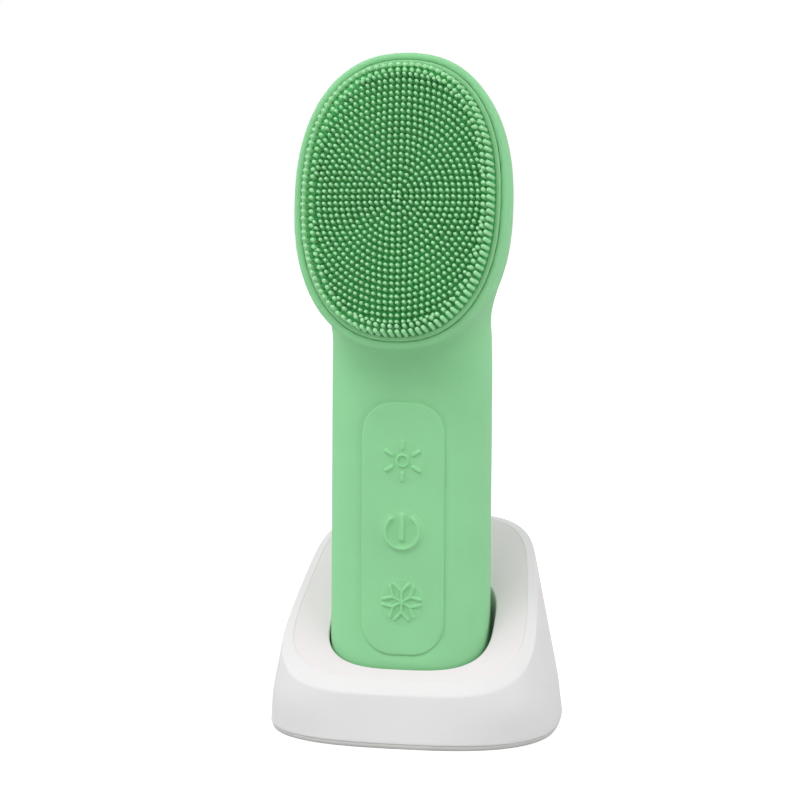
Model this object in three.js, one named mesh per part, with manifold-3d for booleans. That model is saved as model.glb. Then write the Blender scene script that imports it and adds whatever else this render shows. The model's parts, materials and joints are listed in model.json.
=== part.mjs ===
// Facial cleansing brush standing in its charging dock. Millimetres, +Z up, front towards -Y.
// The origin is the middle of the dock's rubber foot, on the surface that the dock stands on.
import * as THREE from 'three';
import { mergeVertices } from 'three/addons/utils/BufferGeometryUtils.js';
import Module from 'manifold-3d';

const wasm = await Module();
wasm.setup();

// ---------------------------------------------------------------- driving dimensions
const GAP = 0.3; // clearance between neighbouring pieces
const RING_STEPS = 28; // points round a large oval
const ROUND_STEPS = 12; // points round a small cylinder
const SECTION_STEP = 0.05; // least distance between two sections of a squeezed shape

// Dock: a tapered oval block with a face that slopes down towards the front.
const DOCK_HALF_WIDTH = 37;
const DOCK_HALF_DEPTH = 31.6;
const DOCK_ROUNDNESS = 2.8; // superellipse exponent at the foot
const RIM_ROUNDNESS = 3.9; // squarer corners from the height where the rim starts
const RIM_START = 12;
const DOCK_TAPER = 0.185; // how much narrower each side gets per millimetre of height
const FACE_HEIGHT = 35.4; // height of the sloping face at the dock's middle
const FACE_SLOPE = 0.73;
const RIM_WIDTH = 2.3; // bevelled band round the sloping face, as wide as the wall is thick
const RIM_DROP = 1.2;
const FASCIA_THICKNESS = 2.65;
const FOOT_TOP = 1.3;
const FOOT_INSET = 0.8;
const BASE_PLATE_TOP = 3.6;
const LEDGE_INSET = 3.5; // how far in from the wall's outside the fascia's ledge reaches
const LEDGE_DEPTH = 2;
const SCREW_SPREAD = [29.3, 14]; // how far the dock's screws are from its middle, across and along
const BOSS = { radius: 2.5, top: 16, bore: 1.2, boreTop: 14 };
const BALLAST = { width: 44, depth: 18, height: 3.2, y: 15 };
const DOCK_BOARD = { width: 26, depth: 20, height: 1.2, y: 16.5, top: 9.6 };
const BOARD_POSTS = { x: 9, y: [10, 20], radius: 1.8 };
const USB_HEIGHT = 11.5;
const PORT = { width: 9.8, height: 4 };
const SOCKET = { halfWidth: 4.5, halfHeight: 1.6, wall: 0.35, length: 7 };
const TONGUE = { width: 6.6, length: 5, height: 0.7 };

// Handset: it stands in the dock's pocket and leans back a little.
const HANDSET_Y = -10.5;
const HANDSET_Z = 10;
const LEAN = THREE.MathUtils.degToRad(2);
const HANDLE_ROUNDNESS = 2.7;
const SKIN = 1.6; // thickness of the silicone jacket
const CORE = 1.6; // thickness of the hard shells under it
const POCKET_CLEARANCE = 0.5;
const CUP_WALL = 1.6;

// Handle cross-sections: height along the handle, half width, half depth, shift of the middle.
const HANDLE_SECTIONS = [
  [0, 15.8, 8.0, 0],
  [1.2, 18.2, 10.6, 0],
  [4.5, 19.5, 12.1, 0],
  [9, 19.65, 12.3, 0],
  [82, 19.65, 12.2, 0],
  [89, 19.6, 11.9, -0.3],
  [97, 19.2, 10.4, -1.6],
  [106, 17.6, 8.0, -4.0],
  [115, 14.0, 5.0, -6.8],
];

// Head: an oval bowl that faces forwards. Depth behind the rim, half width, half height.
const HEAD_Y = -17.8;
const HEAD_Z = 122;
const HEAD_TILT = THREE.MathUtils.degToRad(7);
const HEAD_ROUNDNESS = 2.3;
const HEAD_SECTIONS = [
  [0, 25.5, 35.3],
  [1, 26.0, 35.9],
  [8, 26.3, 36.1],
  [16, 24.8, 34.1],
  [23, 21.4, 30.2],
  [28, 18.4, 26.9],
  [30.2, 16.2, 24.6],
];
const RIM_OPENING = [24.3, 34.1]; // half width and half height of the opening in the rim

// Brush pad: a flat lip, then the crowned envelope that the bristle tips reach.
const PAD_SECTIONS = [
  [3.0, 24.0, 33.8],
  [0.1, 24.0, 33.8],
  [-0.3, 23.4, 33.2],
  [-0.4, 23.0, 32.7],
  [-3.6, 22.8, 32.3],
  [-4.5, 18.6, 27.4],
  [-5.1, 12.4, 19.0],
  [-5.4, 6.0, 9.6],
];

// Warm and cool plate on the back of the head.
const PLATE_HALF = [12.6, 20.8];
const BEZEL_HALF = [14.3, 22.5];
const CORE_WINDOW_HALF = [11.2, 19.4];

// Inside the head, at depths behind the rim.
const RIM_HOLE_DEPTH = 3.2;
const CARRIER = { halfWidth: 21.6, halfHeight: 31.4, front: 3.3, back: 5 };
const CARRIER_OPENING = [22, 31.8];
const PLATE_DEPTHS = { seat: 28.6, edge: 30.6, shoulder: 31.1, crown: 31.5 };
const BEZEL_DEPTHS = [28.9, 30.9];
const PELTIER = { side: 15, thickness: 3.4, depth: 26.2 };
const SINK = { width: 20, height: 30, base: 1.8, baseDepth: 23.3, fin: 1.2, finSpan: 3.6, finDepth: 20.8 };
const SINK_FINS = [-8, -4, 0, 4, 8];
const MOTOR = { depth: 12, radius: 5, halfLength: 9, sleeve: 1.6, sleeveHalf: 7, bore: 1.1 };
const MOTOR_STEPS = 20;
const SHAFT = { radius: 0.75, low: 3.4, high: 14.2 };
const WEIGHT = { radius: 4.2, bore: 1.1, low: 9.8, length: 4 };

// Hard shells under the jacket.
const BASE_OPENING = [13.4, 7.2]; // half sizes of the opening at the handle's end
const CAP_TOP = 4.6;
const CORE_SCREWS = [
  [-12, 12],
  [12, 12],
  [-12, 80],
  [12, 80],
];
const CORE_BOSS = { radius: 2.4, bore: 1.1, front: -8.4, back: 7, head: 2.0, seat: 5.8 };
const FAR = 100; // longer than any piece, for tools that cut right through

// Inside the handle.
const MAIN_BOARD = { width: 24, thickness: 1.2, height: 56, y: -5.1, z: 45 };
const BATTERY = { width: 22, thickness: 6.4, height: 46, y: 1.4, z: 44 };
const SWITCH = { side: 6, thickness: 2.3, y: -7.15, bore: 1.5, boreBack: -6.9 };
const PLUNGER = { radius: 1.2, front: -10.4, back: -7.9 };

// Keypad on the front of the handle.
const KEYPAD_HALF_WIDTH = 10.4;
const KEYPAD_Z = [10.2, 73.2];
const KEYPAD_CORNER = 8;
const KEY_RADIUS = 6.2;
const KEY_HEIGHTS = { heat: 58.8, power: 41.4, cool: 24.1 };
const HANDLE_FRONT = -12.3;
const ICON_HEIGHT = 0.35;
const ICON_ROOT = 0.5; // how far a raised mark reaches down into its key
const KEYPAD_CUT = [-14, -8]; // tools for the keypad reach from in front of the skin to behind it
const KEY_CUT = [-16, -6];
const KEY_STEPS = 24;
const SUN = { disc: 1.7, rays: 6, ray: [0.9, 2.4, 3.7] }; // ray: width, reach of its middle, length
const POWER = { outer: 4.6, inner: 3.6, open: THREE.MathUtils.degToRad(38), bar: [1.4, 1.5, 5.6] };
const FLAKE = { arms: 6, arm: [0.7, 2.5, 5], crossBar: [2.2, 3.4, 0.7] };

// Charging contacts.
const CONTACT_X = 5;
const CONTACT = { radius: 1.9, thickness: 3.4, hole: 2.2 };
const PIN_RADIUS = 1.1;
const PIN_BOTTOM = -5.4;
const CONTACT_BLOCK = { width: 18, depth: 7, height: 2.6, z: -3.8 };

// ---------------------------------------------------------------- shaping helpers

/** A closed geometry as a solid for joining and cutting. */
function solid(geometry) {
  const bare = geometry.index ? geometry.toNonIndexed() : geometry.clone();
  bare.deleteAttribute('normal');
  bare.deleteAttribute('uv');
  const merged = mergeVertices(bare, 1e-4);
  const triangles = new Uint32Array(merged.index.array);
  const vertices = merged.getAttribute('position').array;
  const made = new wasm.Manifold(
    new wasm.Mesh({ numProp: 3, vertProperties: vertices, triVerts: triangles }),
  );
  if (made.volume() > 0) {
    return made;
  }
  for (let i = 0; i < triangles.length; i += 3) {
    [triangles[i + 1], triangles[i + 2]] = [triangles[i + 2], triangles[i + 1]];
  }
  return new wasm.Manifold(
    new wasm.Mesh({ numProp: 3, vertProperties: vertices, triVerts: triangles }),
  );
}

function cut(body, ...tools) {
  return tools.reduce((rest, tool) => rest.subtract(tool), body);
}

function join(...bodies) {
  return bodies.reduce((sum, body) => sum.add(body));
}

/** The geometry that three.js shows for a solid. */
function geometryOf(body) {
  const mesh = body.getMesh();
  const geometry = new THREE.BufferGeometry();
  geometry.setAttribute('position', new THREE.BufferAttribute(mesh.vertProperties, 3));
  geometry.setIndex(new THREE.BufferAttribute(mesh.triVerts, 1));
  geometry.computeVertexNormals();
  return geometry;
}

/** A point of a superellipse at an angle round its middle. */
function ovalPoint(halfWidth, halfDepth, roundness, angle) {
  const across = Math.abs(Math.cos(angle) / halfWidth) ** roundness;
  const along = Math.abs(Math.sin(angle) / halfDepth) ** roundness;
  const radius = (across + along) ** (-1 / roundness);
  return [radius * Math.cos(angle), radius * Math.sin(angle)];
}

/** A closed skin over a stack of rings. Each ring is a function from an angle to a point. */
function loftGeometry(rings, steps = RING_STEPS) {
  const last = rings.length - 1;
  const geometry = new THREE.CylinderGeometry(1, 1, last, steps, last);
  const position = geometry.getAttribute('position');
  const turn = 2 * Math.PI;
  const middles = rings.map((ring) => {
    const sum = new THREE.Vector3();
    for (let step = 0; step < steps; step += 1) {
      sum.add(ring((step * turn) / steps));
    }
    return sum.divideScalar(steps);
  });
  for (let i = 0; i < position.count; i += 1) {
    const x = position.getX(i);
    const z = position.getZ(i);
    const level = Math.round(position.getY(i) + last / 2);
    const step = Math.round((Math.atan2(x, z) * steps) / turn + steps) % steps;
    const onAxis = Math.hypot(x, z) < 0.5;
    const point = onAxis ? middles[level] : rings[level]((step * turn) / steps);
    position.setXYZ(i, point.x, point.y, point.z);
  }
  return geometry;
}

/** An oval prism along Z between two heights. */
function ovalBlock(halfWidth, halfDepth, roundness, low, high) {
  const ring = (z) => (angle) => {
    const [x, y] = ovalPoint(halfWidth, halfDepth, roundness, angle);
    return new THREE.Vector3(x, y, z);
  };
  return solid(loftGeometry([ring(low), ring(high)]));
}

function box(width, depth, height, x, y, z) {
  return solid(new THREE.BoxGeometry(width, depth, height).translate(x, y, z));
}

/** A cylinder along axis 'y' or 'z', from low to high on it, with its middle line at (a, b). */
function rodGeometry(radius, axis, low, high, a, b, steps = ROUND_STEPS) {
  const geometry = new THREE.CylinderGeometry(radius, radius, high - low, steps);
  const middle = (low + high) / 2;
  if (axis === 'y') {
    return geometry.translate(a, middle, b);
  }
  return geometry.rotateX(Math.PI / 2).translate(a, b, middle);
}

function rod(...values) {
  return solid(rodGeometry(...values));
}

/** A mesh for a piece, placed in a group. */
function piece(group, name, body, look) {
  const material = new THREE.MeshStandardMaterial({ metalness: 0, ...look });
  const mesh = new THREE.Mesh(geometryOf(body), material);
  mesh.name = name;
  group.add(mesh);
  return mesh;
}

const LOOK = {
  silicone: { color: 0x8fcb97, roughness: 0.55 },
  bristle: { color: 0x6fb67a, roughness: 0.6 },
  whitePlastic: { color: 0xececea, roughness: 0.35 },
  fasciaPlastic: { color: 0xe2dcde, roughness: 0.4 },
  corePlastic: { color: 0xdedfda, roughness: 0.5 },
  blackPlastic: { color: 0x1c1c1e, roughness: 0.5 },
  rubber: { color: 0x4a4b4c, roughness: 0.9 },
  board: { color: 0x1f6b3a, roughness: 0.5 },
  steel: { color: 0xb4b7ba, roughness: 0.35, metalness: 1 },
  aluminium: { color: 0xc9ccd0, roughness: 0.3, metalness: 1 },
  brass: { color: 0xd9b45a, roughness: 0.3, metalness: 1 },
  foil: { color: 0x9aa3ad, roughness: 0.45, metalness: 0.4 },
  ceramic: { color: 0xf2f0ea, roughness: 0.6 },
};

// ---------------------------------------------------------------- dock shapes

/** A point on the dock's tapered wall, moved in by inset, at the height that heightAt(y) gives. */
function dockPoint(angle, inset, heightAt) {
  const point = new THREE.Vector3();
  for (let pass = 0; pass < 24; pass += 1) {
    const halfWidth = DOCK_HALF_WIDTH - DOCK_TAPER * point.z - inset;
    const halfDepth = DOCK_HALF_DEPTH - DOCK_TAPER * point.z - inset;
    const rise = Math.min(Math.max(point.z / RIM_START, 0), 1);
    const roundness = THREE.MathUtils.lerp(DOCK_ROUNDNESS, RIM_ROUNDNESS, rise);
    const [x, y] = ovalPoint(halfWidth, halfDepth, roundness, angle);
    point.set(x, y, heightAt(y));
  }
  return point;
}

const dockRing = (inset, heightAt) => (angle) => dockPoint(angle, inset, heightAt);
const level = (z) => () => z;
const face = (offset) => (y) => FACE_HEIGHT + FACE_SLOPE * y + offset;
const dockBlock = (...rings) => solid(loftGeometry(rings));

// ---------------------------------------------------------------- handset shapes

/** Section places squeezed to the length that is left when both ends move in by -offset. */
function squeezedPlaces(sections, offset) {
  const last = sections.length - 1;
  return sections.map(([place], index) => {
    const lowest = sections[0][0] - offset + index * SECTION_STEP;
    const highest = sections[last][0] + offset - (last - index) * SECTION_STEP;
    return Math.min(Math.max(place, lowest), highest);
  });
}

/** The handle's outer shape, grown by offset, in the handset's own frame. */
function handleGeometry(offset) {
  const places = squeezedPlaces(HANDLE_SECTIONS, offset);
  const rings = HANDLE_SECTIONS.map(([, halfWidth, halfDepth, middle], index) => (angle) => {
    const [x, y] = ovalPoint(halfWidth + offset, halfDepth + offset, HANDLE_ROUNDNESS, angle);
    return new THREE.Vector3(x, middle + y, places[index]);
  });
  return loftGeometry(rings);
}

const handsetPlace = new THREE.Matrix4().compose(
  new THREE.Vector3(0, HANDSET_Y, HANDSET_Z),
  new THREE.Quaternion().setFromEuler(new THREE.Euler(-LEAN, 0, 0)),
  new THREE.Vector3(1, 1, 1),
);

const headPlace = new THREE.Matrix4().compose(
  new THREE.Vector3(0, HEAD_Y, HEAD_Z),
  new THREE.Quaternion().setFromEuler(new THREE.Euler(-HEAD_TILT, 0, 0)),
  new THREE.Vector3(1, 1, 1),
);

/** An oval in the head's own frame: half width across X, half height along Z, at a depth along Y. */
const headRing = (depth, halfWidth, halfHeight) => (angle) => {
  const [x, z] = ovalPoint(halfWidth, halfHeight, HEAD_ROUNDNESS, angle);
  return new THREE.Vector3(x, depth, z);
};

function headOval(halfWidth, halfHeight, front, back) {
  return loftGeometry([
    headRing(front, halfWidth, halfHeight),
    headRing(back, halfWidth, halfHeight),
  ]);
}

/** The head's outer bowl, grown by offset, in the head's own frame. */
function headGeometry(offset) {
  const places = squeezedPlaces(HEAD_SECTIONS, offset);
  const rings = HEAD_SECTIONS.map(([, halfWidth, halfHeight], index) =>
    headRing(places[index], halfWidth + offset, halfHeight + offset),
  );
  return loftGeometry(rings);
}

/** The whole handset's outer shape, grown by offset: the handle joined to the head. */
function handsetShape(offset) {
  return join(solid(handleGeometry(offset)), solid(headGeometry(offset).applyMatrix4(headPlace)));
}

/** A tool in the handset's frame, made from an oval prism in the head's frame. */
function headTool([halfWidth, halfHeight], front, back) {
  return solid(headOval(halfWidth, halfHeight, front, back).applyMatrix4(headPlace));
}

/** A rounded rectangle across X and Z, as a prism through the handle's front. */
function keypadPrism(inset, front, back) {
  const left = -KEYPAD_HALF_WIDTH + inset;
  const right = KEYPAD_HALF_WIDTH - inset;
  const bottom = KEYPAD_Z[0] + inset;
  const top = KEYPAD_Z[1] - inset;
  const corner = KEYPAD_CORNER - inset;
  const outline = new THREE.Shape();
  outline.absarc(right - corner, top - corner, corner, 0, Math.PI / 2);
  outline.absarc(left + corner, top - corner, corner, Math.PI / 2, Math.PI);
  outline.absarc(left + corner, bottom + corner, corner, Math.PI, 1.5 * Math.PI);
  outline.absarc(right - corner, bottom + corner, corner, 1.5 * Math.PI, 2 * Math.PI);
  const geometry = new THREE.ExtrudeGeometry(outline, {
    depth: back - front,
    bevelEnabled: false,
    curveSegments: 5,
  });
  return solid(geometry.rotateX(Math.PI / 2).translate(0, back, 0));
}

// ---------------------------------------------------------------- groups

const object = new THREE.Group();

const handset = new THREE.Group();
handset.position.set(0, HANDSET_Y, HANDSET_Z);
handset.rotation.x = -LEAN;
object.add(handset);

const head = new THREE.Group();
head.position.set(0, HEAD_Y, HEAD_Z);
head.rotation.x = -HEAD_TILT;
handset.add(head);

// ---------------------------------------------------------------- the dock's pieces

/** The dock's moulded shell: a tapered wall, a ledge for the fascia, and four screw bosses. */
function dockHousing() {
  const outside = dockBlock(
    dockRing(0, level(FOOT_TOP + GAP)),
    dockRing(0, level(RIM_START / 2)),
    dockRing(0, level(RIM_START)),
    dockRing(0, face(-RIM_DROP)),
    dockRing(RIM_WIDTH, face(0)),
  );
  const inside = dockBlock(
    dockRing(RIM_WIDTH, level(0)),
    dockRing(RIM_WIDTH, level(RIM_START / 2)),
    dockRing(RIM_WIDTH, level(RIM_START)),
    dockRing(RIM_WIDTH, face(2)),
  );
  const underFascia = -FASCIA_THICKNESS - 2 * GAP;
  const ledge = cut(
    dockBlock(dockRing(1, face(underFascia - LEDGE_DEPTH)), dockRing(1, face(underFascia))),
    dockBlock(
      dockRing(LEDGE_INSET, face(underFascia - LEDGE_DEPTH - 1)),
      dockRing(LEDGE_INSET, face(underFascia + 1)),
    ),
  );
  const port = box(PORT.width, 12, PORT.height, 0, DOCK_HALF_DEPTH, USB_HEIGHT);
  const corners = screwPlaces();
  const bosses = corners.map(([x, y]) =>
    rod(BOSS.radius, 'z', BASE_PLATE_TOP + GAP, BOSS.top, x, y),
  );
  const threads = corners.map(([x, y]) => rod(BOSS.bore, 'z', 0, BOSS.boreTop, x, y));
  return cut(join(cut(outside, inside), ledge, ...bosses), port, ...threads);
}

/** Middles of the dock's four screws. */
function screwPlaces() {
  const [x, y] = SCREW_SPREAD;
  return [
    [-x, -y],
    [x, -y],
    [-x, y],
    [x, y],
  ];
}

/** The sloping face with the cup that the handle stands in. */
function dockFascia() {
  const inset = RIM_WIDTH + GAP;
  const plate = dockBlock(
    dockRing(inset, face(-GAP - FASCIA_THICKNESS)),
    dockRing(inset, face(-GAP)),
  );
  const inPlace = (geometry) => solid(geometry.applyMatrix4(handsetPlace));
  const outer = POCKET_CLEARANCE + CUP_WALL;
  const cup = inPlace(handleGeometry(outer).scale(1, 1, 0.6));
  const belowFace = dockBlock(dockRing(inset, level(2)), dockRing(inset, face(-1)));
  const pocket = inPlace(handleGeometry(POCKET_CLEARANCE));
  const pinHoles = [-CONTACT_X, CONTACT_X].map((x) =>
    inPlace(rodGeometry(PIN_RADIUS + GAP, 'z', -6, 2, x, 0)),
  );
  return cut(join(plate, cup.intersect(belowFace)), pocket, ...pinHoles);
}

function dockBasePlate() {
  const inset = RIM_WIDTH + GAP;
  const low = FOOT_TOP + GAP;
  const plate = dockBlock(dockRing(inset, level(low)), dockRing(inset, level(BASE_PLATE_TOP)));
  const postTop = DOCK_BOARD.top - DOCK_BOARD.height - GAP;
  const posts = boardPosts().map(([x, y]) =>
    rod(BOARD_POSTS.radius, 'z', BASE_PLATE_TOP - 1, postTop, x, y),
  );
  const holes = screwPlaces().map(([x, y]) => rod(BOSS.bore, 'z', 0, 6, x, y));
  const heads = screwPlaces().map(([x, y]) => rod(2.3, 'z', 0, 2.6, x, y));
  return cut(join(plate, ...posts), ...holes, ...heads);
}

/** Middles of the posts that hold the dock's circuit board. */
function boardPosts() {
  const { x, y } = BOARD_POSTS;
  return y.flatMap((along) => [
    [-x, along],
    [x, along],
  ]);
}

function dockFoot() {
  return dockBlock(dockRing(FOOT_INSET, level(0)), dockRing(FOOT_INSET, level(FOOT_TOP)));
}

function ballastPlate() {
  const low = BASE_PLATE_TOP + GAP;
  const { width, depth, height, y: middle } = BALLAST;
  const plate = box(width, depth, height, 0, middle, low + height / 2);
  const holes = boardPosts().map(([x, y]) =>
    rod(BOARD_POSTS.radius + GAP + 0.1, 'z', low - 1, low + 4, x, y),
  );
  return cut(plate, ...holes);
}

/** The charging socket: a flat oval sleeve, closed at the inner end, with a tongue in it. */
function usbSocket() {
  const back = DOCK_HALF_DEPTH - DOCK_TAPER * USB_HEIGHT - GAP;
  const front = back - SOCKET.length;
  const sleeve = (halfWidth, halfHeight, low, high) =>
    join(
      box(2 * (halfWidth - halfHeight), high - low, 2 * halfHeight, 0, (low + high) / 2, USB_HEIGHT),
      rod(halfHeight, 'y', low, high, halfHeight - halfWidth, USB_HEIGHT),
      rod(halfHeight, 'y', low, high, halfWidth - halfHeight, USB_HEIGHT),
    );
  const { halfWidth, halfHeight, wall } = SOCKET;
  const shell = cut(
    sleeve(halfWidth, halfHeight, front, back),
    sleeve(halfWidth - wall, halfHeight - wall, front + 1, back + 1),
  );
  return join(shell, box(TONGUE.width, TONGUE.length, TONGUE.height, 0, front + 3, USB_HEIGHT));
}

function contactBlock() {
  const holes = [-CONTACT_X, CONTACT_X].map((x) => rod(PIN_RADIUS + GAP, 'z', -9, 0, x, 0));
  const { width, depth, height, z } = CONTACT_BLOCK;
  return cut(box(width, depth, height, 0, 0, z), ...holes);
}

/** A board for circuits, lying flat in the dock. */
function dockBoard() {
  const { width, depth, height, y, top } = DOCK_BOARD;
  return box(width, depth, height, 0, y, top - height / 2);
}

/** A round-headed screw along an axis, with the underside of its head at a place. */
function screw(axis, headRadius, shankRadius, headEnd, seat, tip, a, b) {
  const middle = (headEnd + seat) / 2;
  const shank = rod(shankRadius, axis, Math.min(tip, middle), Math.max(tip, middle), a, b, 8);
  const cap = rod(headRadius, axis, Math.min(headEnd, seat), Math.max(headEnd, seat), a, b, 8);
  return join(shank, cap);
}

piece(object, 'dock_housing', dockHousing(), LOOK.whitePlastic);
piece(object, 'dock_fascia', dockFascia(), LOOK.fasciaPlastic);
piece(object, 'dock_base_plate', dockBasePlate(), LOOK.corePlastic);
piece(object, 'dock_foot', dockFoot(), LOOK.rubber);
piece(object, 'ballast_plate', ballastPlate(), LOOK.steel);
piece(object, 'dock_board', dockBoard(), LOOK.board);
piece(object, 'usb_c_socket', usbSocket(), LOOK.steel);
piece(handset, 'contact_block', contactBlock(), LOOK.blackPlastic);
screwPlaces().forEach(([x, y], index) => {
  piece(object, `dock_screw_${index + 1}`, screw('z', 2, 0.9, 1.7, 2.3, 12, x, y), LOOK.steel);
});
const springPin = (x) => rod(PIN_RADIUS, 'z', PIN_BOTTOM, -GAP, x, 0);
piece(handset, 'dock_pin_left', springPin(-CONTACT_X), LOOK.brass);
piece(handset, 'dock_pin_right', springPin(CONTACT_X), LOOK.brass);

// ---------------------------------------------------------------- the handset's shells

const skinShape = cut(handsetShape(0), handsetShape(-SKIN));
const coreOutside = handsetShape(-SKIN - GAP);
const coreShape = cut(coreOutside, handsetShape(-SKIN - GAP - CORE));
const baseOpening = () => ovalBlock(...BASE_OPENING, HANDLE_ROUNDNESS, -2, 6);

function siliconeBody() {
  const rimHole = headTool(RIM_OPENING, -2, RIM_HOLE_DEPTH);
  const plateHole = headTool([BEZEL_HALF[0] + GAP, BEZEL_HALF[1] + GAP], 27, 34);
  return cut(skinShape, rimHole, plateHole, keypadPrism(0, ...KEYPAD_CUT), baseOpening());
}

function frontHousing() {
  const frontHalf = box(FAR, FAR, 3 * FAR, 0, -FAR / 2 - GAP / 2, FAR / 2);
  const { radius, bore, front } = CORE_BOSS;
  const bosses = CORE_SCREWS.map(([x, z]) => rod(radius, 'y', front, -GAP / 2, x, z));
  const threads = CORE_SCREWS.map(([x, z]) => rod(bore, 'y', front + 1.6, 2, x, z));
  const rimHole = headTool(CARRIER_OPENING, -1, 6);
  const underPad = headTool([30, 40], -5, CARRIER.front);
  const keyHoles = keyBores(KEY_RADIUS);
  const shell = join(coreShape.intersect(frontHalf), ...bosses).intersect(coreOutside);
  return cut(shell, rimHole, underPad, baseOpening(), ...threads, ...keyHoles);
}

function rearHousing() {
  const rearHalf = box(FAR, FAR, 3 * FAR, 0, FAR / 2 + GAP / 2, FAR / 2);
  const { radius, bore, back, head: headRadius, seat } = CORE_BOSS;
  const bosses = CORE_SCREWS.map(([x, z]) => rod(radius, 'y', GAP / 2, back, x, z));
  const holes = CORE_SCREWS.map(([x, z]) => rod(bore, 'y', -2, back + 1, x, z));
  const heads = CORE_SCREWS.map(([x, z]) => rod(headRadius, 'y', seat, seat + 6.2, x, z));
  const plateHole = headTool(CORE_WINDOW_HALF, 20, 34);
  const shell = join(coreShape.intersect(rearHalf), ...bosses).intersect(coreOutside);
  return cut(shell, plateHole, baseOpening(), ...holes, ...heads);
}

function baseCap() {
  const [halfWidth, halfDepth] = BASE_OPENING;
  const cap = ovalBlock(halfWidth - GAP, halfDepth - GAP, HANDLE_ROUNDNESS, 0, CAP_TOP);
  const holes = [-CONTACT_X, CONTACT_X].map((x) => rod(CONTACT.hole, 'z', -1, 6, x, 0));
  return cut(cap, ...holes);
}

piece(handset, 'silicone_body', siliconeBody(), LOOK.silicone);
piece(handset, 'front_housing', frontHousing(), LOOK.corePlastic);
piece(handset, 'rear_housing', rearHousing(), LOOK.corePlastic);
piece(handset, 'base_cap', baseCap(), LOOK.silicone);
const contact = (x) => rod(CONTACT.radius, 'z', 0, CONTACT.thickness, x, 0);
piece(handset, 'charge_contact_left', contact(-CONTACT_X), LOOK.brass);
piece(handset, 'charge_contact_right', contact(CONTACT_X), LOOK.brass);
CORE_SCREWS.forEach(([x, z], index) => {
  piece(handset, `core_screw_${index + 1}`, screw('y', 1.7, 0.8, 7.1, 6.1, -6, x, z), LOOK.steel);
});

// ---------------------------------------------------------------- keypad

/** Raised mark: a disc in a ring of six rays. */
function sunMark(z) {
  const rays = [];
  for (let i = 0; i < SUN.rays; i += 1) {
    rays.push(markBar(...SUN.ray, (i * 2 * Math.PI) / SUN.rays, z));
  }
  return join(rod(SUN.disc, 'y', HANDLE_FRONT - ICON_HEIGHT, HANDLE_FRONT + 0.4, 0, z), ...rays);
}

/** Raised mark: an open ring with a bar in its gap. */
function powerMark(z) {
  const outline = new THREE.Shape();
  const start = Math.PI / 2 + POWER.open;
  const end = Math.PI / 2 - POWER.open + 2 * Math.PI;
  outline.absarc(0, 0, POWER.outer, start, end, false);
  outline.absarc(0, 0, POWER.inner, end, start, true);
  const ring = new THREE.ExtrudeGeometry(outline, {
    depth: ICON_HEIGHT + ICON_ROOT,
    bevelEnabled: false,
    curveSegments: 14,
  });
  ring.rotateX(Math.PI / 2).translate(0, HANDLE_FRONT + ICON_ROOT, z);
  return join(solid(ring), markBar(...POWER.bar, 0, z));
}

/** Raised mark: six crossed arms, each with a short bar across it. */
function flakeMark(z) {
  const arms = [];
  for (let i = 0; i < FLAKE.arms; i += 1) {
    const turn = (i * 2 * Math.PI) / FLAKE.arms;
    arms.push(markBar(...FLAKE.arm, turn, z));
    arms.push(markBar(...FLAKE.crossBar, turn, z));
  }
  return join(...arms);
}

/** A raised bar whose middle is at a reach from the key's middle, turned round it by an angle. */
function markBar(width, reach, length, turn, z) {
  const geometry = new THREE.BoxGeometry(width, ICON_HEIGHT + ICON_ROOT, length);
  geometry.translate(0, HANDLE_FRONT + (ICON_ROOT - ICON_HEIGHT) / 2, reach).rotateY(turn);
  return solid(geometry.translate(0, 0, z));
}

const MARKS = { heat: sunMark, power: powerMark, cool: flakeMark };

/** Round tools through the handle's front, one for each key. */
function keyBores(radius) {
  return Object.values(KEY_HEIGHTS).map((z) => rod(radius, 'y', ...KEY_CUT, 0, z, KEY_STEPS));
}

function keypadMembrane() {
  return cut(skinShape.intersect(keypadPrism(GAP, ...KEYPAD_CUT)), ...keyBores(KEY_RADIUS));
}

function keyCap(name) {
  const z = KEY_HEIGHTS[name];
  const disc = skinShape.intersect(rod(KEY_RADIUS - GAP, 'y', ...KEY_CUT, 0, z, KEY_STEPS));
  return join(disc, MARKS[name](z));
}

function tactSwitch(z) {
  const { side, thickness, y, bore, boreBack } = SWITCH;
  const body = box(side, thickness, side, 0, y, z);
  return cut(body, rod(bore, 'y', -9, boreBack, 0, z));
}

piece(handset, 'keypad_membrane', keypadMembrane(), LOOK.silicone);
Object.entries(KEY_HEIGHTS).forEach(([name, z]) => {
  piece(handset, `${name}_key`, keyCap(name), LOOK.silicone);
  const plunger = rod(PLUNGER.radius, 'y', PLUNGER.front, PLUNGER.back, 0, z);
  piece(handset, `${name}_plunger`, plunger, LOOK.blackPlastic);
  piece(handset, `${name}_switch`, tactSwitch(z), LOOK.blackPlastic);
});

/** A flat block standing in the handle. */
const slab = ({ width, thickness, height, y, z }) => box(width, thickness, height, 0, y, z);
piece(handset, 'main_board', slab(MAIN_BOARD), LOOK.board);
piece(handset, 'battery_cell', slab(BATTERY), LOOK.foil);

// ---------------------------------------------------------------- head

/** The brush: a lipped pad whose crowned front is the envelope of its bristle tips. */
function brushPad() {
  return solid(loftGeometry(PAD_SECTIONS.map(([depth, x, z]) => headRing(depth, x, z))));
}

/** The stiff tray behind the brush pad. */
function padCarrier() {
  const { halfWidth, halfHeight, front, back } = CARRIER;
  return solid(headOval(halfWidth, halfHeight, front, back));
}

function plateBezel() {
  const ring = solid(headOval(...BEZEL_HALF, ...BEZEL_DEPTHS));
  return cut(ring, solid(headOval(PLATE_HALF[0] + GAP, PLATE_HALF[1] + GAP, 28, 32)));
}

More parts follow.
